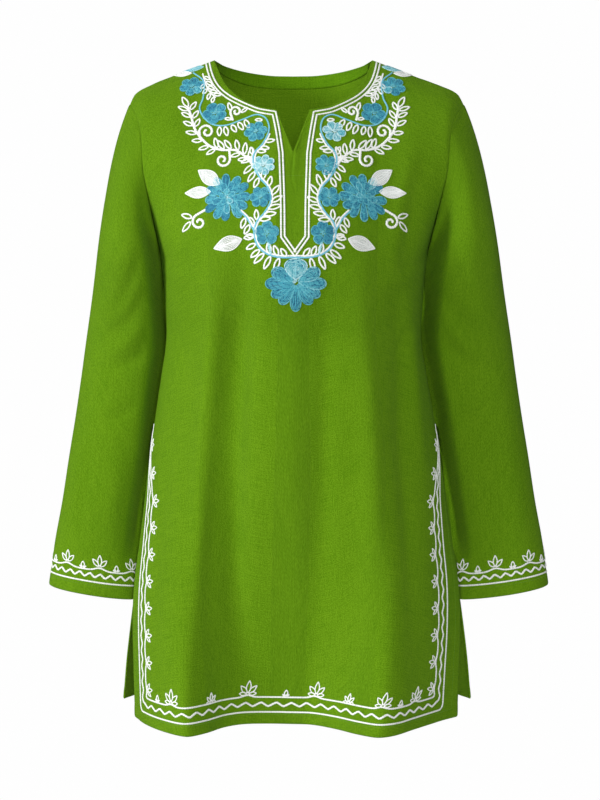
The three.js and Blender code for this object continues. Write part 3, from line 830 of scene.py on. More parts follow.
@dataclass
class StitchWork:
    """Collects rows of stitches on one piece of cloth into a single mesh."""

    name: str
    points: list[Array] = field(default_factory=list)
    faces: list[Sequence[int]] = field(default_factory=list)
    flat: list[Array] = field(default_factory=list)
    tones: list[Array] = field(default_factory=list)
    count: int = 0

    def add(self, points: Array, faces: Iterable[Sequence[int]], flat: Array, tone: float) -> None:
        """Adds points and the faces between them.

        Args:
            points: The points.
            faces: Their numbers in each face.
            flat: A UV for each, in metres.
            tone: Their shade.
        """
        start = self.count
        self.points.append(points)
        self.faces += [[v + start for v in face] for face in faces]
        self.flat.append(flat)
        self.tones.append(np.full(len(points), tone))
        self.count += len(points)

    def row(
        self,
        points: Array,
        normals: Array,
        stitch: Stitch,
        tone: float = 0.5,
        closed: bool = False,
        raised: float = 0.0,
    ) -> None:
        """Lays a row of chain stitch along points on the cloth.

        Args:
            points: Line on the cloth's surface, its end left off if closed.
            normals: Outward directions there.
            stitch: Size of the stitches.
            tone: Shade of the thread.
            closed: Whether the row runs back to its start.
            raised: Height of its foot above the cloth.
        """
        if closed:
            points, normals = np.vstack([points, points[:1]]), np.vstack([normals, normals[:1]])
        length = run_lengths(points)[-1]
        links = max(round(length / stitch.length), 1)
        count = PHASES * links + 1
        points, normals = even_spaced(points, normals, count)
        if closed:
            points, normals = points[:-1], normals[:-1]
            count -= 1
        soft = normals + np.roll(normals, 1, axis=0) + np.roll(normals, -1, axis=0)
        if not closed:
            soft[[0, -1]] = normals[[0, -1]]
        normals = unit(soft)
        if closed:
            along = np.roll(points, -1, axis=0) - np.roll(points, 1, axis=0)
        else:
            along = np.gradient(points, axis=0)
        side = unit(np.cross(normals, unit(along)))
        phase = np.arange(count) % PHASES
        across = SECTION_SIDE * (stitch.width / 2 * LINK_WIDTH[phase])[:, None]
        groove = GROOVE * LINK_GROOVE[phase][:, None]
        up = (SECTION_UP * LINK_HEIGHT[phase][:, None] - groove) * stitch.height + raised
        ring = points[:, None] + side[:, None] * across[..., None] + normals[:, None] * up[..., None]
        sides = len(SECTION_SIDE)
        run = np.arange(count)[:, None] * stitch.length / PHASES
        flat = stack(run * MM, np.arange(sides) / sides * stitch.width * MM)
        i = np.arange(count if closed else count - 1)[:, None]
        j = np.arange(sides)
        a, b = i * sides + j, i * sides + (j + 1) % sides
        c, d = (i + 1) % count * sides + (j + 1) % sides, (i + 1) % count * sides + j
        faces = np.stack([a, d, c, b], axis=-1).reshape(-1, 4).tolist()
        verts = ring.reshape(-1, 3)
        flats = flat.reshape(-1, 2)
        if not closed:
            out = unit(along[[0, -1]]) * np.array([[-1], [1]]) * stitch.width * 0.3
            middle = ring[[0, -1]].mean(axis=1) + out
            verts = np.vstack([verts, middle])
            flats = np.vstack([flats, flats[[0, -1]]])
            first, last = count * sides, (count - 1) * sides
            for k in range(sides):
                nxt = (k + 1) % sides
                faces.append([k, nxt, first])
                faces.append([last + nxt, last + k, first + 1])
        self.add(verts, faces, flats, tone)

    def pad(self, points: Array, normals: Array, height: float, tone: float) -> None:
        """Lays a low domed patch under filling stitches, inside a closed line on the cloth, in a darker tone
        that is painted shade between the rows.

        Args:
            points: The closed line.
            normals: Outward directions there.
            height: Height of the patch.
            tone: Its shade.
        """
        count = len(points)
        middle, up = points.mean(axis=0), unit(normals.mean(axis=0))
        inner = mix(points, middle, 0.25) + normals * height
        verts = np.vstack([points - normals * 0.3, inner, [middle + up * height * 1.1, middle - up * 0.6]])
        faces: list[Sequence[int]] = []
        for k in range(count):
            nxt = (k + 1) % count
            faces.append([k, nxt, count + nxt, count + k])
            faces.append([count + k, count + nxt, 2 * count])
            faces.append([nxt, k, 2 * count + 1])
        turn = np.cross(points[1] - middle, points[2] - middle) @ up
        if turn < 0:
            faces = [face[::-1] for face in faces]
        flat = verts[:, [0, 2]] * MM
        self.add(verts, faces, flat, tone)

    def dash(
        self, start: Array, end: Array, normal: Array, width: float, height: float
    ) -> None:
        """Lays one small straight stitch.

        Args:
            start: Its one end.
            end: Its other end.
            normal: Outward direction.
            width: Its width.
            height: Its height.
        """
        along = unit(end - start)
        side = np.cross(normal, along) * width / 2
        middle = (start + end) / 2
        up = normal * height
        verts = np.array([
            start - up * 0.6, start + side * 0.5 + up * 0.2, start - side * 0.5 + up * 0.2,
            middle + side + up * 0.3, middle + up, middle - side + up * 0.3, middle - up * 0.8,
            end - up * 0.6, end + side * 0.5 + up * 0.2, end - side * 0.5 + up * 0.2,
        ])  # fmt: skip
        faces = [
            [0, 2, 1], [1, 2, 4], [1, 4, 3], [2, 5, 4], [0, 1, 3], [0, 3, 6], [0, 6, 5], [0, 5, 2],
            [8, 4, 9], [8, 3, 4], [9, 4, 5], [7, 3, 8], [7, 6, 3], [7, 5, 6], [7, 9, 5], [7, 8, 9],
        ]  # fmt: skip
        self.add(verts, faces, verts[:, [0, 2]] * MM, 0.5)

    def topstitch(
        self, points: Array, normals: Array, length: float = 2.3, gap: float = 0.9
    ) -> None:
        """Lays a row of small straight stitches along points on the cloth.

        Args:
            points: The line.
            normals: Outward directions there.
            length: Length of a stitch.
            gap: Cloth between two.
        """
        count = max(int(run_lengths(points)[-1] / (length + gap)), 1)
        ends, ways = even_spaced(points, normals, 2 * count)
        for k in range(0, 2 * count - 1, 2):
            self.dash(ends[k], mix(ends[k], ends[k + 1], 1.35), unit(ways[k]), 0.55, 0.35)

    def make(self) -> Piece:
        """The collected stitches as an object."""
        flat = np.concatenate(self.flat)
        corners = np.array([v for face in self.faces for v in face])
        return mesh_object(
            self.name, np.concatenate(self.points), self.faces, flat[corners], np.concatenate(self.tones)
        )


# The yoke's pattern, laid out in millimetres on a plane that faces the viewer

EYE = np.array([7.5, -2185.77, -241.16])
PITCH = math.radians(4)
EYE_TO_GARMENT = 2191.1
PATTERN_X, PATTERN_Y = -5.8, 286.5
CURL_DEGREES = 430


def pattern_aims(pattern: Array) -> Array:
    """Points in space on the pattern's plane, for pattern points from the foot of the V."""
    ahead = np.array([0, math.cos(PITCH), -math.sin(PITCH)])
    up = np.array([0, math.sin(PITCH), math.cos(PITCH)])
    right = np.array([1.0, 0, 0])
    x, y = pattern[:, :1] + PATTERN_X, pattern[:, 1:] + PATTERN_Y
    return EYE + ahead * EYE_TO_GARMENT + right * x + up * y


def closed_outline(shares: Array, length: float, half: Array) -> Array:
    """Closed outline with the same half widths on both sides of its length."""
    upper, lower = stack(shares * length, half), stack(shares * length, -half)
    return np.vstack([upper, lower[-2:0:-1]])


def petal_outline(length: float, width: float, fullest: float, count: int = 14) -> Array:
    """Closed outline of a round-tipped petal from its base at 0 along its length.

    Args:
        length: Its length.
        width: Its greatest width.
        fullest: Where that lies, as a share of its length.
        count: Points a side.

    Returns:
        The outline.
    """
    s = (1 - np.cos(np.linspace(0, np.pi, count))) / 2
    rise = np.sin(np.clip(s / fullest, 0, 1) * np.pi / 2) ** 0.85
    end = np.sqrt(np.clip(1 - ((s - fullest) / (1 - fullest)) ** 2, 0, 1))
    return closed_outline(s, length, np.where(s < fullest, rise, end) * width / 2)


def leaf_outline(length: float, width: float, count: int = 12) -> Array:
    """Closed outline of a pointed leaf from its base at 0 along its length."""
    s = np.linspace(0, 1, count)
    return closed_outline(s, length, np.sin(np.pi * s**0.9) * width / 2)


@dataclass
class YokeLayout:
    """Places stitched motifs of the yoke on the front, in pattern millimetres."""

    cloth: Cloth
    white: StitchWork
    blue: StitchWork
    vine: StitchWork
    mirror: int
    chance: np.random.Generator

    def to_cloth(self, pattern: Array) -> tuple[Array, Array]:
        """Cloth points and normals under pattern points, mirrored for the wearer's left."""
        placed = pattern.copy()
        if self.mirror > 0:
            placed[:, 0] = -placed[:, 0] * (1 - 0.045 * smooth(20, 75, placed[:, 1]))
        return self.cloth.seen(EYE, pattern_aims(placed))

    def local(self, centre: Sequence[float]) -> Array:
        """Matrix from true millimetres on the cloth at a centre to pattern millimetres.

        Args:
            centre: Where on the pattern.

        Returns:
            The matrix.
        """
        at = np.array([centre, centre, centre], float) + [[0, 0], [1, 0], [0, 1]]
        points, normals = self.to_cloth(at)
        right, up = points[1] - points[0], points[2] - points[0]
        first = unit(right - normals[0] * (right @ normals[0]))
        second = np.cross(first, normals[0])
        second = second if second @ up > 0 else -second
        seen = np.array([[right @ first, up @ first], [right @ second, up @ second]])
        return np.linalg.inv(seen)

    def place(self, centre: Sequence[float], angle: float, shape: Array) -> Array:
        """Pattern points of a shape in true millimetres, turned by an angle in degrees at a centre."""
        return np.asarray(centre, float) + shape @ (self.local(centre) @ turned(angle)).T

    def line(self, path: Array, stitch: Stitch, work: StitchWork | None = None, tone: float = 0.5,
             raised: float = 0.0) -> None:  # fmt: skip
        """Lays a row of stitches along a pattern path.

        Args:
            path: The path.
            stitch: Size of the stitches.
            work: The stitch work, white unless given.
            tone: Shade of the thread.
            raised: Height of its foot above the cloth.
        """
        points, normals = self.to_cloth(path)
        (work or self.white).row(points, normals, stitch, tone, raised=raised)

    def leaf(self, base: Sequence[float], angle: float, length: float, width: float) -> None:
        """Lays one outlined leaf.

        Args:
            base: Where it starts.
            angle: Its direction in degrees.
            length: Its length.
            width: Its width.
        """
        inset = FINE.width / 2
        shape = leaf_outline(length - inset, width - 2 * inset)
        shape[:, 1] += np.sign(shape[:, 1]) * 0.35
        points, normals = self.to_cloth(self.place(base, angle, shape))
        self.white.row(points, normals, FINE, closed=True, raised=0.05)

    def filled(self, base: Sequence[float], angle: float, outline: Array, work: StitchWork,
               tone: float, raised: float = 0.0) -> None:  # fmt: skip
        """Fills an outline with rows of stitches, from the edge inwards, over a patch whose darker tone is
        painted shade between the rows.

        Args:
            base: Where the outline starts.
            angle: Its direction in degrees.
            outline: The outline.
            work: The stitch work to lay it in.
            tone: Shade of the thread.
            raised: Height of its foot above the cloth.
        """
        length, width = np.ptp(outline, axis=0)
        middle = np.array([outline[:, 0].mean(), 0])
        points, normals = self.to_cloth(self.place(base, angle, mix(middle, outline, 0.97)))
        # The patch under the rows is 0.45 darker than their thread: painted shade in the gaps between the
        # rows.
        work.pad(points + normals * raised, normals, 0.25, tone - 0.45)
        pitch = FILL.width * 1.12
        inset = FILL.width / 2
        while inset < width / 2:
            share = np.array([1 - inset / (length / 2), 1 - inset / (width / 2)])
            ring = middle + (outline - middle) * share
            if np.ptp(ring[:, 1]) < 1.2:
                break
            points, normals = self.to_cloth(self.place(base, angle, ring))
            edge = 0.12 if inset < pitch else -0.07
            shade = tone + edge + self.chance.uniform(-0.13, 0.13)
            work.row(points, normals, FILL, shade, closed=True, raised=raised + 0.12)
            inset += pitch
        spine = stack(np.linspace(0.2, 0.85, 8) * length, 0)
        points, normals = self.to_cloth(self.place(base, angle, spine))
        work.row(points, normals, FILL, tone - 0.08, raised=raised + 0.2)

    def sprig_row(
        self,
        path: Array,
        shares: Iterable[float],
        side: int,
        lean: float = 48,
        length: float = 12.8,
        width: float = 6.4,
    ) -> None:
        """Lays outlined leaves along one side of a stem.

        Args:
            path: The stem in pattern millimetres, in the direction of growth.
            shares: Where the leaves leave it, as shares of its length.
            side: 1 for its left side, -1 for its right.
            lean: Degrees from the stem's direction.
            length: Length of a leaf.
            width: Its width.
        """
        run = run_lengths(path)
        for share in shares:
            at = share * run[-1]
            k = min(int(np.searchsorted(run, at)), len(path) - 2)
            along = path[k + 1] - path[max(k - 1, 0)]
            heading = math.degrees(math.atan2(along[1], along[0]))
            jitter = self.chance.uniform(-5, 5)
            angle = heading + side * (lean + jitter)
            away = np.array([-along[1], along[0]]) / np.linalg.norm(along) * side * 1.3
            self.leaf(path[k] + away, angle, length * self.chance.uniform(0.9, 1.08), width)

    def curl(self, start: Sequence[float], centre: Sequence[float], radius: float, turn: int) -> None:
        """Lays a stem that runs from start into a spiral.

        Args:
            start: Where the stem leaves.
            centre: Middle of the spiral.
            radius: Its outer radius.
            turn: 1 for anticlockwise inwards, -1 for clockwise.
        """
        first, middle = np.array(start, float), np.array(centre, float)
        begin = math.atan2(*(first - middle)[::-1]) + turn * 0.9
        sweep = np.linspace(0, 1, 40)
        angles = begin + turn * sweep * math.radians(CURL_DEGREES)
        spiral = middle + polar(radius * (1 - 0.78 * sweep**0.8), angles)
        lead = soft_line([first, mix(first, spiral[0], 0.55), spiral[0]], 2)[:-1]
        self.line(np.vstack([lead, spiral]), BOLD)

    def flower(
        self,
        centre: Sequence[float],
        radius: float,
        petals: int,
        tone: float,
        start: float = 90,
        pale: Iterable[int] = (),
    ) -> None:
        """Lays a small round flower.

        Args:
            centre: Its middle.
            radius: Its radius.
            petals: How many petals.
            tone: Shade of its thread.
            start: Angle of the first petal.
            pale: Numbers of the petals in a paler shade.
        """
        width = min(1.5 * radius * math.sin(math.pi / petals), 0.92 * radius)
        outline = petal_outline(radius * 0.86, width, 0.62)
        pale_ones = set(pale)
        for k in range(petals):
            angle = start + 360 / petals * k + self.chance.uniform(-4, 4)
            base = self.place(centre, 0, polar(radius * 0.13, math.radians(angle)))
            shade = tone + self.chance.uniform(-0.08, 0.08) + (0.28 if k in pale_ones else 0)
            self.filled(base, angle, outline, self.blue, min(shade, 1), raised=0.05 * k)
        self.knot(centre, radius * 0.17, tone + 0.25)

    def knot(self, centre: Sequence[float], radius: float, tone: float) -> None:
        """Lays the small raised knot in the middle of a flower."""
        turn = np.linspace(0, 2 * np.pi * 1.6, 16)
        coil = self.place(centre, 0, polar(np.linspace(radius, 0.2, 16), turn))
        self.line(coil, FILL, self.blue, min(tone, 1), raised=0.75)

    def daisy(self, centre: Sequence[float], radius: float, tone: float) -> None:
        """Lays the big flower of three rings of petals.

        Args:
            centre: Its middle.
            radius: Its radius.
            tone: Shade of its thread.
        """
        rings = ((12, 0.3, 1.0, 0.36), (9, 0.14, 0.66, 0.29), (5, 0.02, 0.36, 0.24))
        for ring, (count, inner, outer, wide) in enumerate(rings):
            for k in range(count):
                size = self.chance.uniform(0.92, 1.06)
                outline = petal_outline(radius * (outer - inner) * size, radius * wide * (2 - size), 0.66)
                angle = 97 + 360 / count * (k + ring / 2) + self.chance.uniform(-4, 4)
                reach = radius * (inner + self.chance.uniform(-0.03, 0.03))
                base = self.place(centre, 0, polar(reach, math.radians(angle)))
                paler = 0.3 if k == 1 and ring == 0 else 0.05 * ring
                shade = tone + self.chance.uniform(-0.14, 0.14) + paler
                self.filled(base, angle, outline, self.blue, min(shade, 1), raised=0.42 * ring)
        self.knot(centre, radius * 0.12, 0.9)


VINE = (
    (-118, 93), (-106, 83), (-106.5, 64), (-110.5, 52), (-105.5, 41), (-95, 33), (-80, 32), (-60, 39),
    (-44, 44.5), (-33.5, 40), (-30, 27), (-37, 11.5), (-47, 0), (-48, -14), (-40.5, -29), (-31, -40.5),
    (-28, -54.5), (-35, -68.5), (-44.5, -80), (-47.5, -93), (-43, -108), (-32.5, -117), (-17, -121),
    (0, -121),
)  # fmt: skip
SPRAY = (
    (-48.5, -14), (-57, -4.5), (-68.5, 3), (-85, 3.5), (-98.5, 8), (-109, 17.5), (-116.5, 29),
    (-120, 41.5), (-124, 53.5),
)  # fmt: skip
SHOULDER_SPRAY = ((-107, 92), (-104, 82), (-99.5, 72), (-92, 64))
BRANCH = ((-64, -67.5), (-55.5, -76), (-47.5, -90))
NECK_LINE = (
    (-101.3, 104.5), (-98.8, 94), (-94.2, 82.5), (-87, 73), (-77, 65), (-66.5, 59.3), (-53.5, 53.5),
    (-42, 49.3), (-24.1, 46.2),
)  # fmt: skip
ROW_OFFSETS_AND_POINTS = ((-2.05, -120.5), (2.05, -114.5))
STEM = Stitch(2.2, 0.85, 2.6)
BRANCH_STEM = Stitch(2.1, 0.85, 2.6)
SLIT_LINES = (
    ((-24.1, 46.2), (-20.1, 26.7), (-16.2, 0.5)),
    ((-16.2, 0.5), (-14.4, -55), (-14, -97)),
    ((-14, -97), (0.6, -117.5)),
)


def offset_line(path: Array, distance: float) -> Array:
    """A plane line set off to its left by a distance, with its corners kept.

    Args:
        path: The line.
        distance: How far.

    Returns:
        The line set off.
    """
    along = unit(np.diff(path, axis=0))
    normal = stack(-along[:, 1], along[:, 0])
    joined = unit(np.vstack([normal[:1], normal[:-1] + normal[1:], normal[-1:]]))
    first = np.vstack([normal[:1], normal])
    stretch = 1 / np.clip((joined * first).sum(axis=1), 0.6, 1)
    return path + joined * (distance * stretch)[:, None]


@dataclass
class Yoke:
    """The embroidered yoke: neck rows, vines, sprays, leaves and flowers."""

    cloth: Cloth

    def neck_rows(self, work: StitchWork, side: YokeLayout) -> None:
        """Lays the two rows round the neck and down the slit on one side.

        Args:
            work: The stitch work of the rows.
            side: The side's layout.
        """
        parts = [soft_line(NECK_LINE, 2)]
        parts += [soft_line(line, 2)[1:] for line in SLIT_LINES]
        path = np.vstack(parts)
        for distance, point in ROW_OFFSETS_AND_POINTS:
            line = offset_line(path, distance)
            line[-1] = (0, point)
            side.line(line, NECK_ROW, work)

    def half(self, side: YokeLayout) -> None:
        """Lays one side's vine, sprays, leaves and flowers."""
        vine, spray, branch = soft_line(VINE, 2), soft_line(SPRAY, 2), soft_line(BRANCH, 2)
        run = run_lengths(vine)
        side.line(vine, STEM, side.vine, 0.4, raised=0.15)
        side.line(offset_line(vine[run > 0.44 * run[-1]], 1.9), FINE)
        side.line(spray, BOLD)
        side.line(branch, BRANCH_STEM, side.vine, 0.4, raised=0.15)
        side.line(offset_line(branch, 1.9), FINE)
        for leaves in (
            (np.linspace(0.07, 0.43, 6), -1, 50, 15.5, 6.2),
            ((0.78, 0.87, 0.96), -1, 46, 12.5, 6),
            ((0.09, 0.17), 1, 50, 12, 5.8),
            (np.linspace(0.44, 0.96, 7), 1, 46, 13, 6),
        ):
            side.sprig_row(spray, *leaves)
        side.leaf(spray[-1], 118, 16, 7)
        self.vine_leaves(side, vine, branch)
        self.curls(side)
        self.leaves(side)
        self.flowers(side)

    def vine_leaves(self, side: YokeLayout, vine: Array, branch: Array) -> None:
        """Lays the leaves that line the vine."""
        shoulder = soft_line(SHOULDER_SPRAY, 2)
        side.line(shoulder, FINE)
        back = vine[::-1]
        for leaves in (
            (shoulder, (0.12, 0.3, 0.48, 0.66, 0.84), 1, 36, 10.5, 5.2),
            (shoulder, (0.34, 0.54, 0.74, 0.94), -1, 46, 9.5, 5),
            (vine, (0.225, 0.247, 0.268, 0.29, 0.312), -1, 80, 13.5),
            (back, (0.484, 0.502, 0.524), -1, 50, 11, 5.8),
            (back, (0.466, 0.447), 1, 42, 11.5, 6),
            (vine, (0.54, 0.562, 0.584, 0.606), -1, 56, 14),
            (back, (0.375, 0.348, 0.32, 0.293, 0.27, 0.248, 0.228), -1, 46, 14.5),
            (back, (0.222, 0.2), 1, 40, 13),
            (branch, (0.3, 0.7), -1, 62, 12.5),
            (vine, (0.83, 0.852), -1, 92, 13),
            (vine, (0.874, 0.896, 0.919, 0.943), -1, 100, 15.5),
            (back, (0.085, 0.055, 0.024), -1, 58, 12.5),
        ):
            side.sprig_row(*leaves)

    def curls(self, side: YokeLayout) -> None:
        """Lays the spiral curls and the small leaves beside them."""
        side.curl((-104, -66), (-111, -80.5), 9, 1)
        side.leaf((-119.5, -75), 165, 14, 6.4)
        side.leaf((-121, -80), 228, 15.5, 6.6)
        side.curl((-76, 3.5), (-84, -8), 8.8, -1)
        side.curl((-110, 17), (-102, 24.5), 9, -1)
        side.curl((-72, 38), (-68, 48), 7, -1)
        side.leaf((-74, 49), 112, 13, 5.6)
        side.leaf((-62, 47), 46, 10, 5)
        side.leaf((-74, 39), 170, 8.5, 4.8)
        side.leaf((-38, 38), 175, 9, 5)

    def leaves(self, side: YokeLayout) -> None:
        """Lays the big filled leaves."""
        for base, angle, length, width in (
            ((-87, -37), 150, 35, 17), ((-97, -45), 183, 34, 14.5), ((-61, -99.5), 199, 34, 17),
        ):  # fmt: skip
            side.filled(base, angle, leaf_outline(length, width), side.white, 0.45)
        side.leaf((-47, -97), 172, 11, 6)
        side.filled((-105, 100), 196, leaf_outline(27, 11), side.blue, 0.75)
        side.filled((-119, 92.5), 190, leaf_outline(23, 10), side.white, 0.5)

    def flowers(self, side: YokeLayout) -> None:
        """Lays the blue flowers."""
        left = side.mirror < 0
        side.flower((-119.5, 77), 14.5, 6, 0.32, 20, pale=(5,))
        side.flower((-93, 46), 15, 5, 0.35, 50)
        side.flower((-45.5, 25), 13.8, 6, 0.4 if left else 0.86, 15)
        side.flower((-36.5, -14), 13.5, 7, 0.88 if left else 0.4, 80)
        side.daisy((-79, -51.5), 28.5, 0.31)
        side.flower((-40, -51), 12.8, 6, 0.36, 60)
        side.knot((-55, -53.5), 3.2, 0.4)
        side.flower((-32.5, -93), 14, 5, 0.34, 90)
        side.line(soft_line(((-31, -104), (-28, -117)), 2), BOLD, side.blue, 0.8)

    def centre_flower(self, side: YokeLayout) -> None:
        """Lays the large fan-shaped flower below the slit's point."""
        centre = (1, -150)
        fan = [(0, 27, 26, 0.8)]
        for degrees, length, width, tone in (
            (62, 30, 15.5, 0.42), (93, 34, 14.5, 0.36), (120, 31, 13.5, 0.4), (145, 30, 13.5, 0.36),
        ):
            fan += [(degrees, length, width, tone), (-degrees, length, width, tone + 0.14)]
        fan.append((180, 33, 13, 0.45))
        for order, (degrees, length, width, tone) in enumerate(sorted(fan, key=lambda p: -abs(p[0]))):
            angle = 90 + degrees
            base = np.array(centre) + polar(2.5, math.radians(angle))
            outline = petal_outline(length - 2.5, width, 0.66)
            side.filled(base, angle, outline, side.blue, tone, raised=0.08 * order)
        side.knot((centre[0] - 1.5, centre[1] + 1), 2.6, 0.85)

    def make(self) -> list[Piece]:
        """The yoke's stitch work as pieces."""
        neck = StitchWork("yoke_neck_rows")
        vine = StitchWork("yoke_vine")
        made = [neck, vine]
        for mirror, name in ((-1, "right"), (1, "left")):
            white = StitchWork(f"yoke_leaves_{name}")
            blue = StitchWork(f"yoke_flowers_{name}")
            side = YokeLayout(self.cloth, white, blue, vine, mirror, np.random.default_rng(SEED + mirror))
            self.neck_rows(neck, side)
            self.half(side)
            if mirror < 0:
                centre = StitchWork("yoke_centre_flower")
                middle = YokeLayout(self.cloth, white, centre, vine, -1, side.chance)
                self.centre_flower(middle)
                made.append(centre)
            made += [white, blue]
        return [work.make() for work in made]


# Borders, laid out by their run across the cloth and their height above its edge

BORDER_ROW = Stitch(2.2, 0.9, 2.8)
WAVE_ROW = Stitch(2.6, 0.9, 2.8)
SPRIG_ROW = Stitch(1.55, 0.75, 2.4)


class Chart:
    """Finds places on a cloth by their run from its edge and their height above its hem."""

    def __init__(self, cloth: Cloth, first_row: int, reverse: bool = False) -> None:
        """Measures the cloth.

        Args:
            cloth: The cloth.
            first_row: Row of its grid at which the chart starts.
            reverse: Whether the run starts at the last column.
        """
        points, normals = cloth.grid[first_row:], cloth.normals[first_row:]
        if cloth.closed:
            points = np.concatenate([points, points[:, :1]], axis=1)
            normals = np.concatenate([normals, normals[:, :1]], axis=1)
        if reverse:
            points, normals = points[:, ::-1], normals[:, ::-1]
        down = run_lengths(points, axis=0)
        self.cloth, self.points, self.normals = cloth, points, normals
        self.across, self.up = run_lengths(points, axis=1), down[-1:] - down

    def width(self, height: float) -> float:
        """Run of the whole cloth at a height."""
        return float(np.interp(height, self.up[::-1].mean(axis=1), self.across[::-1, -1]))

    def run_to(self, x: float, height: float) -> float:
        """Run at which the cloth reaches a place across, at a height."""
        row = int(np.argmin(np.abs(self.up.mean(axis=1) - height)))
        order = np.argsort(self.points[row, :, 0])
        return float(np.interp(x, self.points[row, order, 0], self.across[row, order]))

    def find(self, places: Array) -> tuple[Array, Array]:
        """Points and normals at places of run and height.

        Args:
            places: Rows of run and height.

        Returns:
            The surface points and their outward directions.
        """
        rows, columns = self.across.shape
        run, height = np.asarray(places, float).T
        if self.cloth.closed:
            run = np.mod(run, self.width(float(height.mean())))
        r = np.interp(height, self.up[::-1].mean(axis=1), np.arange(rows)[::-1])
        c = np.zeros_like(r)
        for _ in range(3):
            i, f = self.split(r, rows)
            lines = mix(self.across[i], self.across[i + 1], f[:, None])
            c = np.array([np.interp(run[k], lines[k], np.arange(columns)) for k in range(len(run))])
            j, g = self.split(c, columns)
            lines = mix(self.up[:, j], self.up[:, j + 1], g)[::-1]
            backward = np.arange(rows)[::-1]
            r = np.array([np.interp(height[k], lines[:, k], backward) for k in range(len(run))])
        i, f = self.split(r, rows)
        found = []
        for table in (self.points, self.normals):
            upper = mix(table[i, j], table[i, j + 1], g[:, None])
            lower = mix(table[i + 1, j], table[i + 1, j + 1], g[:, None])
            found.append(mix(upper, lower, f[:, None]))
        return found[0], unit(found[1])

    @staticmethod
    def split(place: Array, count: int) -> tuple[Array, Array]:
        """Whole and remaining parts of places in a grid."""
        whole = np.clip(place.astype(int), 0, count - 2)
        return whole, place - whole

    def lay(self, work: StitchWork, path: Array, stitch: Stitch, closed: bool = False) -> None:
        """Lays a row of stitches along a path of places."""
        points, normals = self.find(path)
        work.row(points, normals, stitch, closed=closed)

    def motif(self, work: StitchWork, place: Sequence[float], angle: float, shape: Array) -> None:
        """Lays a closed row round a shape, turned by an angle in degrees from the upward way.

        Args:
            work: The stitch work to lay it in.
            place: Run and height of its foot.
            angle: Degrees from upwards.
            shape: Its points, along and beside its direction.
        """
        at = np.array([place, place, place], float) + [[0, 0], [1, 0], [0, 1]]
        points, normals = self.find(at)
        up = unit(points[2] - points[0])
        across = unit(points[1] - points[0])
        turn = math.radians(angle)
        along = up * math.cos(turn) + across * math.sin(turn)
        beside = across * math.cos(turn) - up * math.sin(turn)
        spread = points[0] + shape[:, :1] * along + shape[:, 1:] * beside
        points, normals = self.cloth.nearest(spread)
        work.row(points, normals, SPRIG_ROW, closed=True)

    def sprig(
        self, work: StitchWork, place: Sequence[float], angle: float, size: float, full: bool = False
    ) -> None:
        """Lays a sprig of three outlined leaves, and two small ones below when full.

        Args:
            work: The stitch work to lay it in.
            place: Run and height of its foot.
            angle: Degrees from upwards.
            size: Length of its middle leaf.
            full: Whether it has five leaves.
        """
        leaves = [(0, 1.0), (43, 0.84), (-43, 0.84)]
        if full:
            leaves += [(84, 0.6), (-84, 0.6)]
        for lean, share in leaves:
            shape = leaf_outline(size * share, size * (0.14 + share * 0.22))
            self.motif(work, place, angle, (shape + [1.4, 0]) @ turned(lean).T)

    def bud(self, work: StitchWork, place: Sequence[float], angle: float) -> None:
        """Lays a small bud of one leaf with a short stitch at each side."""
        self.motif(work, place, angle, leaf_outline(6.6, 3.8) + [0.8, 0])
        for lean in (-58, 58):
            self.motif(work, place, angle, (leaf_outline(3.6, 1.2, 4) + [1, 0]) @ turned(lean).T)


def zigzag(path: Array, reach: Array, period: float) -> Array:
    """A soft zigzag about a plane path, at a crest where the path ends.

    Args:
        path: The path.
        reach: Half its width, at each point of the path.
        period: Its length from crest to crest.

    Returns:
        The zigzag.
    """
    run = run_lengths(path)
    fine = np.linspace(0, run[-1], max(int(run[-1] / (period / 12)), 12))
    line = stack(np.interp(fine, run, path[:, 0]), np.interp(fine, run, path[:, 1]))
    wave = round_wave(2 * np.pi * (run[-1] - fine) / period)
    along = unit(np.gradient(line, axis=0))
    return line + stack(-along[:, 1], along[:, 0]) * (np.interp(fine, run, reach) * wave)[:, None]


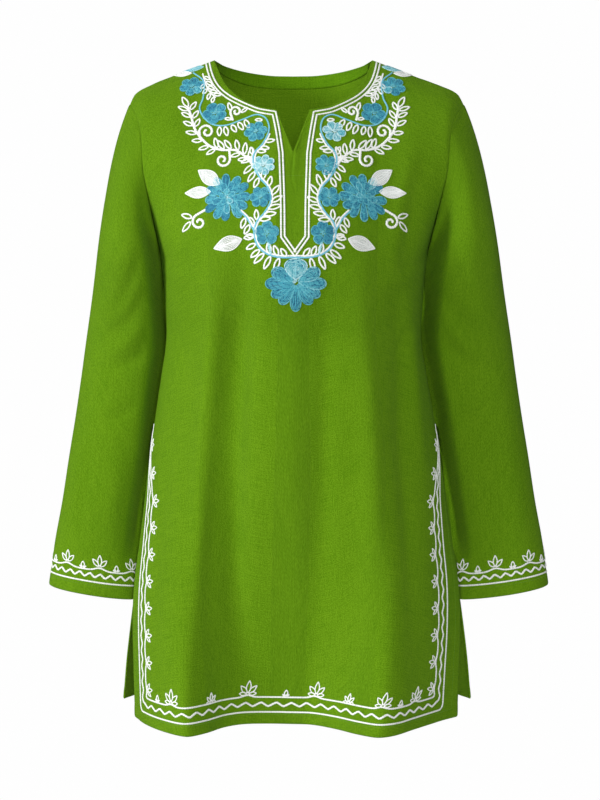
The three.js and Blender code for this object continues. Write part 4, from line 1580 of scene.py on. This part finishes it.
@dataclass(frozen=True)
class FrontBorder:
    """Three rows along the slits and the hem of the front, with sprigs inside them."""

    from_slit: float = 29
    above_hem: float = 13.5
    wave_in: float = 8.6
    inner_in: float = 16.8
    reach: float = 2.1
    side_share: float = 0.72
    period: float = 17.2
    first_sprig: float = 39.5
    sprig_step: float = 30.4
    sprigs: int = 10
    big_sprigs: tuple[float, ...] = (-133, -51.6, 24.5, 96, 133)
    small_sprigs: tuple[float, ...] = (-90, 60)
    buds: tuple[float, ...] = (-149, -9, 116)

    def narrowed(self, height: Any) -> Any:
        """Share of a row's distance from the slit at a height, less towards the slit's top."""
        return 0.16 + 0.84 * smooth(SLIT_HEIGHT + 16, SLIT_HEIGHT - 75, height)

    def path(self, chart: Chart, inset: float, radius: float) -> Array:
        """Places of a row from the slit's top round the corner to the middle of the hem.

        Args:
            chart: The panel's chart.
            inset: How far inside the outer row.
            radius: Radius of its corner.

        Returns:
            The places.
        """
        aside, above = self.from_slit + inset, self.above_hem + inset
        middle = chart.width(above) / 2
        heights = np.arange(SLIT_HEIGHT + 15, above + radius, -3.0)
        down = stack(aside * self.narrowed(heights), heights)
        turn = np.linspace(np.pi, 1.5 * np.pi, 12)[1:]
        centre = np.array([aside + radius, above + radius])
        corner = centre + polar(radius, turn)
        across = stack(np.arange(aside + radius + 3, middle, 3.0), above)
        return np.vstack([down, corner, across, [[middle, above]]])

    def bumped(self, path: Array, places: Iterable[Sequence[float]]) -> Array:
        """The inner row with a small rise at the foot of each sprig."""
        along = unit(np.gradient(path, axis=0))
        inward = stack(-along[:, 1], along[:, 0])
        rise = sum(2.4 * bell(np.linalg.norm(path - np.array(p), axis=1), 6) for p in places)
        return path + inward * np.asarray(rise)[:, None]

    def make(self, cloth: Cloth, first_row: int) -> Piece:
        """The border as one piece.

        Args:
            cloth: The front.
            first_row: Row of its grid at which the border starts.

        Returns:
            The piece.
        """
        work = StitchWork("front_border")
        for reverse in (False, True):
            chart = Chart(cloth, first_row, reverse)
            chart.lay(work, self.path(chart, 0, 7), BORDER_ROW)
            wave = self.path(chart, self.wave_in, 5)
            aside = self.from_slit + self.wave_in
            reach = self.reach * mix(self.side_share, 1, smooth(aside - 2, aside + 12, wave[:, 0]))
            chart.lay(work, zigzag(wave, reach, self.period), WAVE_ROW)
            inner = self.path(chart, self.inner_in, 4)
            aside = self.from_slit + self.inner_in
            feet = [(aside, self.first_sprig + self.sprig_step * k) for k in range(self.sprigs)]
            above = self.above_hem + self.inner_in
            hem_feet = [(chart.run_to(x, above), above) for x in self.big_sprigs]
            chart.lay(work, self.bumped(inner, [*feet, *hem_feet]), BORDER_ROW)
            for run, height in feet:
                foot = run * float(self.narrowed(height)) + 3.0
                chart.sprig(work, (foot, height), 78, 10.6)
            if not reverse:
                self.hem_sprigs(chart, work, above)
        return work.make()

    def hem_sprigs(self, chart: Chart, work: StitchWork, above: float) -> None:
        """Lays the sprigs and buds that stand on the hem's inner row.

        Args:
            chart: The panel's chart.
            work: The stitch work to lay it in.
            above: Height of the inner row.
        """
        for x in self.big_sprigs:
            chart.sprig(work, (chart.run_to(x, above), above + 3.4), 0, 14, True)
        for x in self.small_sprigs:
            chart.sprig(work, (chart.run_to(x, above), above + 0.6), 0, 9.5, True)
        for x in self.buds:
            chart.bud(work, (chart.run_to(x, above), above + 0.8), 0)


@dataclass(frozen=True)
class CuffBorder:
    """Three rows round a cuff, with sprigs and buds in turn above them."""

    above_edge: float = 15.5
    wave_up: float = 7.4
    inner_up: float = 13.2
    reach: float = 2.1
    periods: int = 23
    sprigs: int = 7
    sprig_turn: float = 0.553

    def make(self, name: str, cloth: Cloth, first_row: int, start_turn: float) -> Piece:
        """The border as one piece, its sprigs counted from a place round the cuff.

        Args:
            name: The piece's name.
            cloth: The sleeve.
            first_row: Row of its grid at which the chart starts.
            start_turn: Turn of its first column.

        Returns:
            The piece.
        """
        work = StitchWork(name)
        chart = Chart(cloth, first_row)
        round_cuff = chart.width(self.above_edge)
        run = np.linspace(0, round_cuff, 150)[:-1]
        chart.lay(work, stack(run, self.above_edge), BORDER_ROW, closed=True)
        fine = np.linspace(0, round_cuff, self.periods * 12 + 1)[:-1]
        angle = 2 * np.pi * fine / round_cuff * self.periods
        wave = self.reach * round_wave(angle)
        middle = self.above_edge + self.wave_up
        chart.lay(work, stack(fine, middle + wave), WAVE_ROW, closed=True)
        step = round_cuff / self.sprigs
        first = (self.sprig_turn - start_turn) % 2 / 2 * round_cuff
        inner = self.above_edge + self.inner_up
        feet = first + step * np.arange(self.sprigs)
        away = np.abs((run[:, None] - feet + step / 2) % round_cuff - step / 2).min(axis=1)
        chart.lay(work, stack(run, inner + 3.2 * bell(away, 7.5)), BORDER_ROW, closed=True)
        for foot in feet:
            chart.sprig(work, (foot % round_cuff, inner + 3.9), 0, 12.6)
            chart.bud(work, ((foot + step / 2) % round_cuff, inner + 0.8), 0)
        return work.make()


# Finishes


@dataclass
class Value:
    """A number or colour over a surface, whose arithmetic adds Math nodes."""

    shader: "Shader"
    socket: bpy.types.NodeSocket

    def math(self, operation: str, *values: Any) -> "Value":
        """The result of a Math node on values."""
        return self.shader.add("ShaderNodeMath", {"operation": operation}, dict(enumerate(values)))

    def __add__(self, other: Any) -> "Value":
        """This plus other."""
        return self.math("ADD", self, other)

    def __radd__(self, other: Any) -> "Value":
        """Other plus this."""
        return self.math("ADD", other, self)

    def __sub__(self, other: Any) -> "Value":
        """This less other."""
        return self.math("SUBTRACT", self, other)

    def __rsub__(self, other: Any) -> "Value":
        """Other less this."""
        return self.math("SUBTRACT", other, self)

    def __mul__(self, other: Any) -> "Value":
        """This times other."""
        return self.math("MULTIPLY", self, other)

    def __rmul__(self, other: Any) -> "Value":
        """Other times this."""
        return self.math("MULTIPLY", other, self)

    def sine(self) -> "Value":
        """The sine of this."""
        return self.math("SINE", self)


class Shader:
    """Node tree of one finish."""

    def __init__(self, name: str) -> None:
        """Starts an empty material."""
        self.material = bpy.data.materials.new(name)
        self.material.use_nodes = True
        self.tree = self.material.node_tree
        self.tree.nodes.clear()

    def add(
        self, kind: str, settings: dict | None = None, inputs: dict | None = None, output: Any = 0
    ) -> Value:
        """Adds a node.

        Args:
            kind: Its type.
            settings: Its own settings, a ramp's stops among them.
            inputs: Values or links of its sockets, by name or number.
            output: The socket that comes back.

        Returns:
            Its output.
        """
        node = self.tree.nodes.new(kind)
        for name, value in (settings or {}).items():
            if name == "stops":
                self.set_stops(node.color_ramp, value)
            else:
                setattr(node, name, value)
        for name, value in (inputs or {}).items():
            if isinstance(value, Value):
                self.tree.links.new(value.socket, node.inputs[name])
            else:
                node.inputs[name].default_value = value
        return Value(self, node.outputs[output] if node.outputs else None)

    @staticmethod
    def set_stops(ramp: bpy.types.ColorRamp, stops: Sequence[tuple[float, tuple]]) -> None:
        """Sets a ramp's stops."""
        for k, (position, colour) in enumerate(stops):
            stop = ramp.elements[k] if k < 2 else ramp.elements.new(position)
            stop.position, stop.color = position, (*colour, 1)

    def thread_place(self) -> tuple[Value, Value, Value]:
        """The piece's own UV in metres, and its two coordinates."""
        place = self.add("ShaderNodeUVMap", {"uv_map": "thread"})
        first = self.add("ShaderNodeSeparateXYZ", None, {"Vector": place}, "X")
        return place, first, Value(self, first.socket.node.outputs["Y"])

    def noise(self, vector: Value, scale: Triple, detail: float = 2) -> Value:
        """Noise from 0 to 1, stretched by a scale along each axis."""
        placed = self.add("ShaderNodeMapping", None, {"Vector": vector, "Scale": scale})
        return self.add("ShaderNodeTexNoise", None, {"Vector": placed, "Scale": 1.0, "Detail": detail})

    def blend(self, factor: Value, first: tuple, second: tuple) -> Value:
        """Colour between two, by a factor."""
        return self.add(
            "ShaderNodeMix", {"data_type": "RGBA"}, {0: factor, 6: (*first, 1), 7: (*second, 1)}, output=2
        )

    def finish(self, inputs: dict, height: Value, distance: float) -> Material:
        """Closes the tree with a principled shader over a bump."""
        bump = self.add("ShaderNodeBump", None, {"Height": height, "Strength": 1.0, "Distance": distance})
        surface = self.add("ShaderNodeBsdfPrincipled", None, {**inputs, "Normal": bump})
        self.add("ShaderNodeOutputMaterial", None, {"Surface": surface})
        return self.material


@dataclass(frozen=True)
class CottonFinish:
    """Plain-weave cotton with slubs, matt."""

    name: str
    shade: Triple
    light: Triple
    pitch: float = 0.00075
    warp_scale: Triple = (1100, 45, 1)
    weft_scale: Triple = (38, 950, 1)
    grain_scale: Triple = (820, 820, 1)
    cloud_scale: Triple = (14, 9, 1)
    bump: float = 0.00016

    def make(self) -> Material:
        """The cotton's material."""
        shader = Shader(self.name)
        place, across, down = shader.thread_place()
        turns = 2 * math.pi / self.pitch
        weave = (across * turns).sine() * (down * (turns * 0.92)).sine()
        warp = shader.noise(place, self.warp_scale, 3)
        weft = shader.noise(place, self.weft_scale, 3)
        grain = shader.noise(place, self.grain_scale)
        cloud = shader.noise(place, self.cloud_scale)
        mottle = (warp - 0.5) * 1.2 + (weft - 0.5) * 1.2 + (grain - 0.5) * 3.0 + (cloud - 0.5) * 0.4
        factor = mottle + weave * 0.12 + 0.5
        inputs = {
            "Base Color": shader.blend(factor, self.shade, self.light),
            "Roughness": 0.97 - grain * 0.14,
            "Specular IOR Level": 0.06,
            "Sheen Weight": 0.03,
            "Sheen Roughness": 0.5,
            "Sheen Tint": (0.55, 0.85, 0.35, 1.0),
        }
        height = weave * 0.5 + (warp + weft) * 0.7 + grain * 0.6
        return shader.finish(inputs, height, self.bump)


@dataclass(frozen=True)
class ThreadFinish:
    """Twisted embroidery thread, its colour by the tone of each row."""

    name: str
    stops: tuple[tuple[float, Triple], ...]
    speckle: float = 0.0
    strand: float = 0.0006
    fluff_scale: Triple = (520, 800, 1)
    speck_scale: Triple = (300, 560, 1)
    sheen: float = 0.1
    bump: float = 0.00008

    def make(self) -> Material:
        """The thread's material."""
        shader = Shader(self.name)
        place, along, beside = shader.thread_place()
        twist = ((along * 0.8 + beside) * (2 * math.pi / self.strand)).sine()
        fluff = shader.noise(place, self.fluff_scale, 3)
        tone = shader.add("ShaderNodeAttribute", {"attribute_name": "tone"}, None, "Fac")
        speck = shader.noise(place, self.speck_scale)
        dip = shader.add("ShaderNodeClamp", None, {"Value": (speck - 0.55) * 10})
        shade = tone + (fluff - 0.5) * 0.7 + twist * 0.03 - dip * self.speckle
        inputs = {
            "Base Color": shader.add("ShaderNodeValToRGB", {"stops": self.stops}, {"Fac": shade}),
            "Roughness": 0.78 - fluff * 0.2,
            "Specular IOR Level": 0.25,
            "Sheen Weight": self.sheen,
        }
        return shader.finish(inputs, twist * 0.5 + fluff, self.bump)


GREEN_COTTON = CottonFinish("green_cotton", (0.062, 0.158, 0.0010), (0.124, 0.254, 0.0060))
# The facing's cotton is a lighter, greener copy of the green cotton; its extra lightness is painted light on
# the shaded inside of the back neck.
NECK_FACING_PAINTED_LIGHT = CottonFinish("neck_facing", (0.062, 0.168, 0.001), (0.116, 0.270, 0.0042))
WHITE_THREAD = ThreadFinish(
    "white_thread",
    ((0.0, (0.44, 0.48, 0.45)), (0.4, (0.74, 0.76, 0.74)), (1.0, (0.88, 0.88, 0.86))),
    speckle=0.3,
)
BLUE_THREAD = ThreadFinish(
    "blue_thread",
    (
        (0.0, (0.010, 0.130, 0.230)), (0.3, (0.048, 0.310, 0.400)),
        (0.6, (0.120, 0.440, 0.500)), (1.0, (0.490, 0.690, 0.715)),
    ),
    speckle=0.9,
)  # fmt: skip
VINE_THREAD = ThreadFinish("vine_thread", ((0.0, (0.06, 0.36, 0.52)), (1.0, (0.30, 0.60, 0.70))))
GREEN_THREAD = ThreadFinish("green_thread", ((0.0, (0.075, 0.19, 0.004)), (1.0, (0.13, 0.29, 0.012))))


@dataclass(frozen=True)
class FloorFinish:
    """Plain pale matt floor."""

    name: str = "pale_floor"

    def make(self) -> Material:
        """The floor's material."""
        shader = Shader(self.name)
        place = shader.add("ShaderNodeTexCoord", None, None, "Object")
        grain = shader.noise(place, (8, 8, 8))
        colour = shader.blend(grain, (0.82, 0.82, 0.81), (0.86, 0.86, 0.85))
        return shader.finish({"Base Color": colour, "Roughness": 0.9}, grain, 0.0001)


# The garment

# Shares of the close rows under a panel's top edge and of the close columns beside its side
TOP_ROWS = np.array([0, 0.003, 0.007, 0.013, 0.02, 0.029])
SIDE_COLUMNS = np.array([0.985, 0.991, 0.9955, 0.9985, 1])
# Places of the green stitching, in millimetres above the edges and on the yoke's pattern
HEM_STITCH_UP = (10.6, 10.8)
CUFF_STITCH_UP = 11.4
SLIT_BAR_ACROSS, SLIT_BAR_UP = (-10.9, 12.8), -26.2


def panel_columns(to_neck: int, to_side: int, slit: bool) -> Array:
    """Shares across a panel, finer at the middle slit and at both edges."""
    start = [0, 0.002, 0.004, 0.007, 0.012, 0.02, 0.03, 0.042, 0.056] if slit else [0, 0.03]
    inner = np.linspace(SLIT_SHARE, NECK_SHARE, to_neck)
    outer = np.linspace(NECK_SHARE, 0.978, to_side)[1:]
    return both_sides(np.concatenate([start, inner, outer, SIDE_COLUMNS]))


def panel_rows(yoke: int, chest: int, skirt: int) -> Array:
    """Rows down a panel, finer at its top edge and at its hem."""
    top = np.concatenate([TOP_ROWS, np.linspace(0.04, 1, yoke)])
    middle = np.linspace(1, 2, chest)[1:]
    low = np.concatenate([np.linspace(2, 2.955, skirt)[1:], [2.97, 2.98, 2.988, 2.994, 2.998, 3]])
    return np.concatenate([top, middle, low])


FRONT_PANEL = Panel(
    "front_cloth",
    FRONT,
    panel_columns(34, 44, True),
    panel_rows(62, 52, 92),
    creases(
        (-2.2, 9, (-150, -110), (-138, -150), (-128, -205), (-118, -262)),
        (1.6, 8, (-138, -118), (-122, -160), (-112, -215)),
        (-2.4, 9, (150, -110), (140, -150), (130, -200), (124, -255)),
        (1.6, 8, (136, -112), (122, -158), (112, -220), (108, -262)),
        (1.3, 8, (-150, -236), (-118, -252), (-84, -262)),
        (1.2, 8, (150, -238), (116, -256), (80, -266)),
        (
            6.2, 11, (-78, -190), (-85, -265), (-91, -330), (-98, -430), (-103, -520), (-109, -600),
            (-113, -720),
        ),
        (-9.8, 14, (-46, -160), (-54, -240), (-60, -320), (-66, -430), (-66, -520), (-65, -620), (-62, -710)),
        (2.2, 14, (-2, -262), (0, -340), (-2, -430), (0, -540), (2, -640)),
        (-3.4, 13, (30, -250), (36, -330), (34, -430), (32, -520), (28, -640)),
        (5.0, 16, (74, -215), (82, -300), (88, -420), (90, -520), (94, -600), (88, -710)),
        (-4.6, 11, (112, -255), (121, -330), (122, -430), (128, -520), (132, -620), (126, -710)),
        (2.6, 8, (130, -262), (136, -330), (142, -420), (150, -500)),
        (-1.4, 8, (-144, -300), (-126, -330), (-118, -372)),
        (-1.2, 7, (146, -292), (128, -318), (112, -345)),
        (-1.8, 9, (-138, -420), (-146, -500), (-154, -600), (-156, -690)),
        (-1.4, 8, (160, -500), (164, -580), (166, -660)),
        (-2.2, 3.4, (-186, -62), (-180, -76), (-170, -90)),
        (-2.0, 3.4, (184, -64), (178, -78), (170, -92)),
    ),
    slit_seam=True,
)  # fmt: skip
BACK_PANEL = Panel(
    "back_cloth",
    BACK,
    panel_columns(20, 36, False),
    panel_rows(48, 40, 60),
    creases(
        (-2.0, 9, (-152, -112), (-136, -160), (-124, -220)),
        (-2.1, 9, (152, -112), (138, -156), (126, -214)),
        (1.2, 12, (-60, -60), (-40, -120), (-34, -190)),
        (1.1, 12, (64, -56), (46, -118), (42, -196)),
        (-1.6, 8, (-140, -290), (-110, -318), (-70, -334), (-20, -338)),
        (-1.4, 8, (142, -300), (108, -322), (64, -332), (24, -334)),
        (1.3, 9, (-128, -352), (-96, -372), (-54, -380)),
        (1.6, 14, (0, -360), (4, -450), (-4, -560), (0, -680)),
        (-1.7, 12, (-70, -440), (-78, -540), (-84, -660)),
        (-1.5, 12, (72, -430), (78, -540), (88, -650)),
        (1.5, 11, (126, -450), (142, -560), (158, -680)),
    ),
)


@dataclass(frozen=True)
class SleevePiece:
    """A sleeve with its creases."""

    name: str
    form: SleeveForm
    front_creases: tuple[Crease, ...]
    back_creases: tuple[Crease, ...]
    around: int = 100
    start_turn: float = 1.0
    half_round: float = 150.0
    tucked: float = 22.0
    tuck_beside: tuple[float, float] = (20, 3)
    tuck_top: tuple[float, float] = (-120, -215)
    tuck_foot: tuple[float, float] = (-590, -540)

    def rows(self) -> Array:
        """Shares down the sleeve, finer at its seam and at its cuff."""
        low = [0.966, 0.974, 0.982, 0.989, 0.9935, 0.997, 0.9988, 1]
        return np.concatenate([[0, 0.004, 0.009, 0.016, 0.024], np.linspace(0.034, 0.958, 138), low])

    def first_cuff_row(self) -> int:
        """Row of the grid at which a chart of the cuff starts."""
        return int(np.searchsorted(self.rows(), 0.8))

    def tuck(self, turns: Array, t: Array, grid: Array) -> Array:
        """How far back the front of the sleeve lies where it hangs beside the body.

        Args:
            turns: Turns round it.
            t: Shares down.
            grid: Its points.

        Returns:
            The distances.
        """
        side, z = self.form.side.value, grid[..., 2]
        x, _, half, depth = np.moveaxis(SLEEVE.read(z), -1, 0)
        edge = np.where(z < SLIT_TOP_Z, FRONT.edge.read(z)[..., 0], BODY.read(z)[..., 0])
        room = depth * np.sqrt(np.clip(1 - ((side * grid[..., 0] - x) / half) ** 2, 0.01, 1))
        tucked = np.minimum(self.tucked * smooth(*self.tuck_beside, side * grid[..., 0] - edge), room)
        front = smooth(1.0, 0.86, turns) * smooth(0.1, 0.3, turns)
        down = smooth(*self.tuck_top, z) * smooth(*self.tuck_foot, z)
        return tucked * front * smooth(0.02, 0.2, t) * down

    def cloth(self) -> Cloth:
        """The sleeve with its creases, seam and turned cuff.

        Returns:
            The cloth, outward side out.
        """
        side = self.form.side.value
        turn = (self.start_turn + np.arange(self.around) / self.around * 2) % 2
        turns, t = np.meshgrid(turn, self.rows())
        grid = self.form.point(turns, t)
        grid[..., 1] += self.tuck(turns, t, grid)
        normals = grid_normals(grid, True) * -side
        for facing, folds in ((-1, self.front_creases), (1, self.back_creases)):
            seen = smooth(-0.1, 0.6, normals[..., 1] * facing)
            for crease in folds:
                grid = grid + normals * (crease.lift(grid) * seen)[..., None]
        normals = grid_normals(grid, True) * -side
        down = run_lengths(grid, axis=0)
        around = run_lengths(grid, axis=1)
        from_cuff = down[-1:] - down
        lift = sewn_edge(down, around, 0.7) + turned_edge(from_cuff, CUFF_TURN)
        under = np.abs(turns - 1) * self.half_round
        lift = lift - 0.9 * bell(under, 1.8)
        grid = sway(grid + normals * lift[..., None])
        free = (t == 1) * 1.0
        thickness = np.where(from_cuff < CUFF_TURN + 1.5, TURNED_WALL, CLOTH_WALL)
        return Cloth(self.name, grid, True, thickness, free, side > 0)


SLEEVE_RIGHT = SleevePiece(
    "sleeve_right_cloth",
    SleeveForm(Side.RIGHT),
    creases(
        (-2.4, 4, (-190, -58), (-182, -74), (-171, -90)),
        (-2.6, 8, (-172, -215), (-190, -262), (-214, -300)),
        (-2.4, 8, (-168, -262), (-192, -300), (-222, -322)),
        (-2.2, 8, (-165, -330), (-192, -350), (-226, -362)),
        (2.0, 8, (-168, -300), (-196, -328), (-224, -344)),
        (-1.8, 8, (-178, -392), (-206, -412), (-240, -420)),
        (1.6, 10, (-214, -150), (-224, -200), (-226, -260)),
        (1.8, 11, (-206, -430), (-212, -500), (-216, -570)),
        (-1.5, 9, (-186, -450), (-190, -520), (-196, -580)),
        (-1.4, 9, (-238, -440), (-246, -500), (-252, -560)),
    ),
    creases(
        (-2.0, 8, (-176, -300), (-200, -330), (-230, -345)),
        (1.8, 8, (-180, -370), (-206, -390), (-236, -396)),
        (-1.6, 10, (-210, -430), (-218, -500), (-222, -580)),
        (-1.8, 9, (-178, -180), (-196, -230), (-220, -268)),
    ),
)
SLEEVE_LEFT = SleevePiece(
    "sleeve_left_cloth",
    SleeveForm(Side.LEFT),
    creases(
        (-2.4, 4, (194, -58), (186, -74), (175, -90)),
        (-2.4, 8, (172, -212), (188, -258), (208, -300)),
        (-2.2, 8, (170, -270), (194, -306), (220, -326)),
        (-2.0, 8, (170, -322), (196, -352), (228, -368)),
        (1.8, 8, (168, -296), (194, -330), (222, -348)),
        (-1.6, 8, (180, -402), (208, -416), (240, -424)),
        (1.5, 10, (216, -160), (226, -210), (228, -270)),
        (1.9, 10, (200, -430), (206, -500), (212, -580)),
        (-1.6, 9, (226, -440), (232, -510), (240, -580)),
    ),
    creases(
        (-1.9, 8, (176, -306), (202, -336), (230, -350)),
        (1.7, 8, (182, -380), (208, -398), (238, -402)),
        (-1.5, 10, (214, -440), (220, -510), (224, -590)),
    ),
)


@dataclass(frozen=True)
class FacingPiece:
    """Narrow facing turned in behind the back neck."""

    depth: float = 0.06
    reach: float = 0.4
    inward: float = 1.25

    def cloth(self) -> Cloth:
        """The facing, which follows the inside of the back's top edge.

        Returns:
            The cloth, its inner side out.
        """
        u, t = np.meshgrid(np.linspace(-self.reach, self.reach, 61), np.linspace(0, self.depth, 13))
        grid = BACK.point(u, t)
        normals = grid_normals(grid, False) * -1
        down = run_lengths(grid, axis=0)
        stitched = 0.3 * bell(down - down[-1:] + 2.2, 0.9) + 0.5 * bell(down, 0.9)
        grid = sway(grid - normals * (self.inward + 0.2 + stitched)[..., None])
        edge = np.ones(grid.shape[:2])
        return Cloth("back_neck_facing_cloth", grid, False, edge * 0.6, edge, True)


@dataclass
class Kurti:
    """The whole garment, dressed."""

    white: Material
    blue: Material
    vine: Material
    green: Material
    cotton: Material
    facing: Material

    def dress(self, piece: Piece, finish: Material) -> Piece:
        """Gives a piece its finish and body."""
        piece.data.materials.append(finish)
        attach(piece, "root")
        piece.data.calc_loop_triangles()
        LOG.info("%s: %d triangles", piece.name, len(piece.data.loop_triangles))
        return piece

    def cloth_piece(self, cloth: Cloth, node: str) -> Piece:  # fmt: skip
        """Makes a sheet of cloth, hides the CAD part that it replaces and logs its size.

        Args:
            cloth: The cloth.
            node: The CAD node that it replaces.

        Returns:
            The piece.
        """
        piece = cloth.make()
        facing = node == "back_neck_facing"
        self.dress(piece, self.facing if facing else self.cotton)
        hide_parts(node)
        rows = run_lengths(cloth.grid, axis=1)[:, -1]
        ways = run_lengths(cloth.grid, axis=0)[-1]
        grid = cloth.grid
        cell = np.cross(grid[1:, 1:] - grid[:-1, :-1], grid[1:, :-1] - grid[:-1, 1:])
        measured = np.linalg.norm(cell, axis=-1).sum() / 2e6
        LOG.info("  widest %.0f mm, longest %.0f mm, area %.4f m2", rows.max(), ways.max(), measured)
        return piece

    def stitches(self, front: Cloth, back: Cloth, sleeves: Sequence[tuple[Cloth, SleevePiece]]) -> None:
        """Lays the green stitching of the turned edges.

        Args:
            front: The front.
            back: The back.
            sleeves: The sleeves with their pieces.
        """
        work = StitchWork("hem_stitching")
        for cloth, form, in_from_hem in zip((front, back), (FRONT_PANEL, BACK_PANEL), HEM_STITCH_UP):
            first = int(np.searchsorted(form.rows, 2.0))
            for reverse in (False, True):
                chart = Chart(cloth, first, reverse)
                heights = np.arange(SLIT_HEIGHT - 4, in_from_hem, -4.0)
                down = stack(SLIT_TURN * smooth(SLIT_HEIGHT + 6, SLIT_HEIGHT - 14, heights), heights)
                across = stack(np.arange(SLIT_TURN, chart.width(in_from_hem) / 2, 4.0), in_from_hem)
                work.topstitch(*chart.find(np.vstack([down, across])))
        for cloth, piece in sleeves:
            chart = Chart(cloth, piece.first_cuff_row())
            run = np.linspace(0, chart.width(CUFF_STITCH_UP), 90)[:-1]
            work.topstitch(*chart.find(stack(run, CUFF_STITCH_UP)))
        neck = np.linspace(-0.41, 0.41, 90)
        points = sway(BACK.point(neck, np.full_like(neck, 0.043)))
        work.topstitch(*back.nearest(points))
        bar = pattern_aims(stack(np.linspace(*SLIT_BAR_ACROSS, 40), SLIT_BAR_UP))
        work.topstitch(*front.seen(EYE, bar), 1.7, 1.0)
        self.dress(work.make(), self.green)

    def build(self) -> None:
        """Builds every piece of the garment."""
        front, back = FRONT_PANEL.cloth(), BACK_PANEL.cloth()
        right, left = SLEEVE_RIGHT.cloth(), SLEEVE_LEFT.cloth()
        self.cloth_piece(front, "front")
        self.cloth_piece(back, "back")
        self.cloth_piece(right, "sleeve_right")
        self.cloth_piece(left, "sleeve_left")
        self.cloth_piece(FacingPiece().cloth(), "back_neck_facing")
        for piece in Yoke(front).make():
            finish = self.blue
            if "leaves" in piece.name or "rows" in piece.name:
                finish = self.white
            elif "vine" in piece.name:
                finish = self.vine
            self.dress(piece, finish)
        first = int(np.searchsorted(FRONT_PANEL.rows, 1.88))
        self.dress(FrontBorder().make(front, first), self.white)
        cuff = CuffBorder()
        for name, cloth, piece in (
            ("cuff_border_right", right, SLEEVE_RIGHT), ("cuff_border_left", left, SLEEVE_LEFT),
        ):  # fmt: skip
            self.dress(cuff.make(name, cloth, piece.first_cuff_row(), piece.start_turn), self.white)
        self.stitches(front, back, [(right, SLEEVE_RIGHT), (left, SLEEVE_LEFT)])


# Studio


@dataclass(frozen=True)
class Studio:
    """Camera, pale floor and soft lights."""

    lens: float = 85
    lamp_size: float = 1.1
    key_power: float = 129
    key_place: Triple = (-3.12, -1.5, 0.72)
    front_power: float = 78
    front_place: Triple = (0.3, -3.1, 0.55)
    aim: Triple = (0, 0, -0.35)
    fill: float = 0.18
    paper: tuple[float, float, float, float] = (0.992, 0.992, 0.992, 1)
    floor_radius: float = 1.4
    floor_z: float = -1.28

    def camera(self) -> None:
        """Sets the camera level with the chest, tipped down a little."""
        data = bpy.data.cameras.new("camera")
        data.lens, data.sensor_width, data.sensor_fit = self.lens, 36, "AUTO"
        camera = bpy.data.objects.new("camera", data)
        camera.location = Vector(EYE) * MM
        camera.rotation_euler = (math.pi / 2 - PITCH, 0, 0)
        bpy.context.scene.collection.objects.link(camera)
        bpy.context.scene.camera = camera

    def lamp(self, name: str, power: float, place: Triple) -> None:
        """Sets a round soft light that faces the waist.

        Args:
            name: Its name.
            power: Its power in watts.
            place: Where it stands, in metres.
        """
        data = bpy.data.lights.new(name, "AREA")
        data.shape, data.size, data.energy = "DISK", self.lamp_size, power
        lamp = bpy.data.objects.new(name, data)
        lamp.location = place
        lamp.rotation_euler = (Vector(self.aim) - Vector(place)).to_track_quat("-Z", "Y").to_euler()
        bpy.context.scene.collection.objects.link(lamp)

    def light(self) -> None:
        """Sets a soft key light at the front left, a weaker one in front, and a white sky."""
        self.lamp("key", self.key_power, self.key_place)
        self.lamp("front", self.front_power, self.front_place)
        world = bpy.data.worlds.new("studio")
        world.use_nodes = True
        tree = world.node_tree
        sky, out = tree.nodes["Background"], tree.nodes["World Output"]
        sky.inputs["Color"].default_value = (1, 1, 1, 1)
        sky.inputs["Strength"].default_value = self.fill
        paper = tree.nodes.new("ShaderNodeBackground")
        paper.inputs["Color"].default_value = self.paper
        seen = tree.nodes.new("ShaderNodeLightPath")
        either = tree.nodes.new("ShaderNodeMixShader")
        tree.links.new(seen.outputs["Is Camera Ray"], either.inputs[0])
        tree.links.new(sky.outputs[0], either.inputs[1])
        tree.links.new(paper.outputs[0], either.inputs[2])
        tree.links.new(either.outputs[0], out.inputs["Surface"])
        bpy.context.scene.world = world
        bpy.context.scene.view_settings.view_transform = "Standard"

    def floor(self) -> None:
        """Sets a pale round floor well below the hem."""
        bpy.ops.mesh.primitive_circle_add(
            vertices=96, radius=self.floor_radius, fill_type="NGON", location=(0, 0, 0)
        )
        floor = bpy.context.object
        floor.name = "floor"
        for vertex in floor.data.vertices:
            vertex.co.z = self.floor_z
        floor.data.materials.append(FloorFinish().make())
        floor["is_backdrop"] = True


def main() -> None:
    """Builds the garment and its studio in order."""
    logging.basicConfig(level=logging.INFO, format="%(message)s")
    bpy.ops.object.select_all(action="DESELECT")
    studio = Studio()
    studio.camera()
    Kurti(
        white=WHITE_THREAD.make(),
        blue=BLUE_THREAD.make(),
        vine=VINE_THREAD.make(),
        green=GREEN_THREAD.make(),
        cotton=GREEN_COTTON.make(),
        facing=NECK_FACING_PAINTED_LIGHT.make(),
    ).build()
    studio.floor()
    studio.light()
    sizes = [[list(map(float, corner)) for corner in box] for box in (CAD_BOX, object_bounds())]
    LOG.info("CAD box %s, visual box %s", *sizes)


if __name__ == "__main__":
    main()
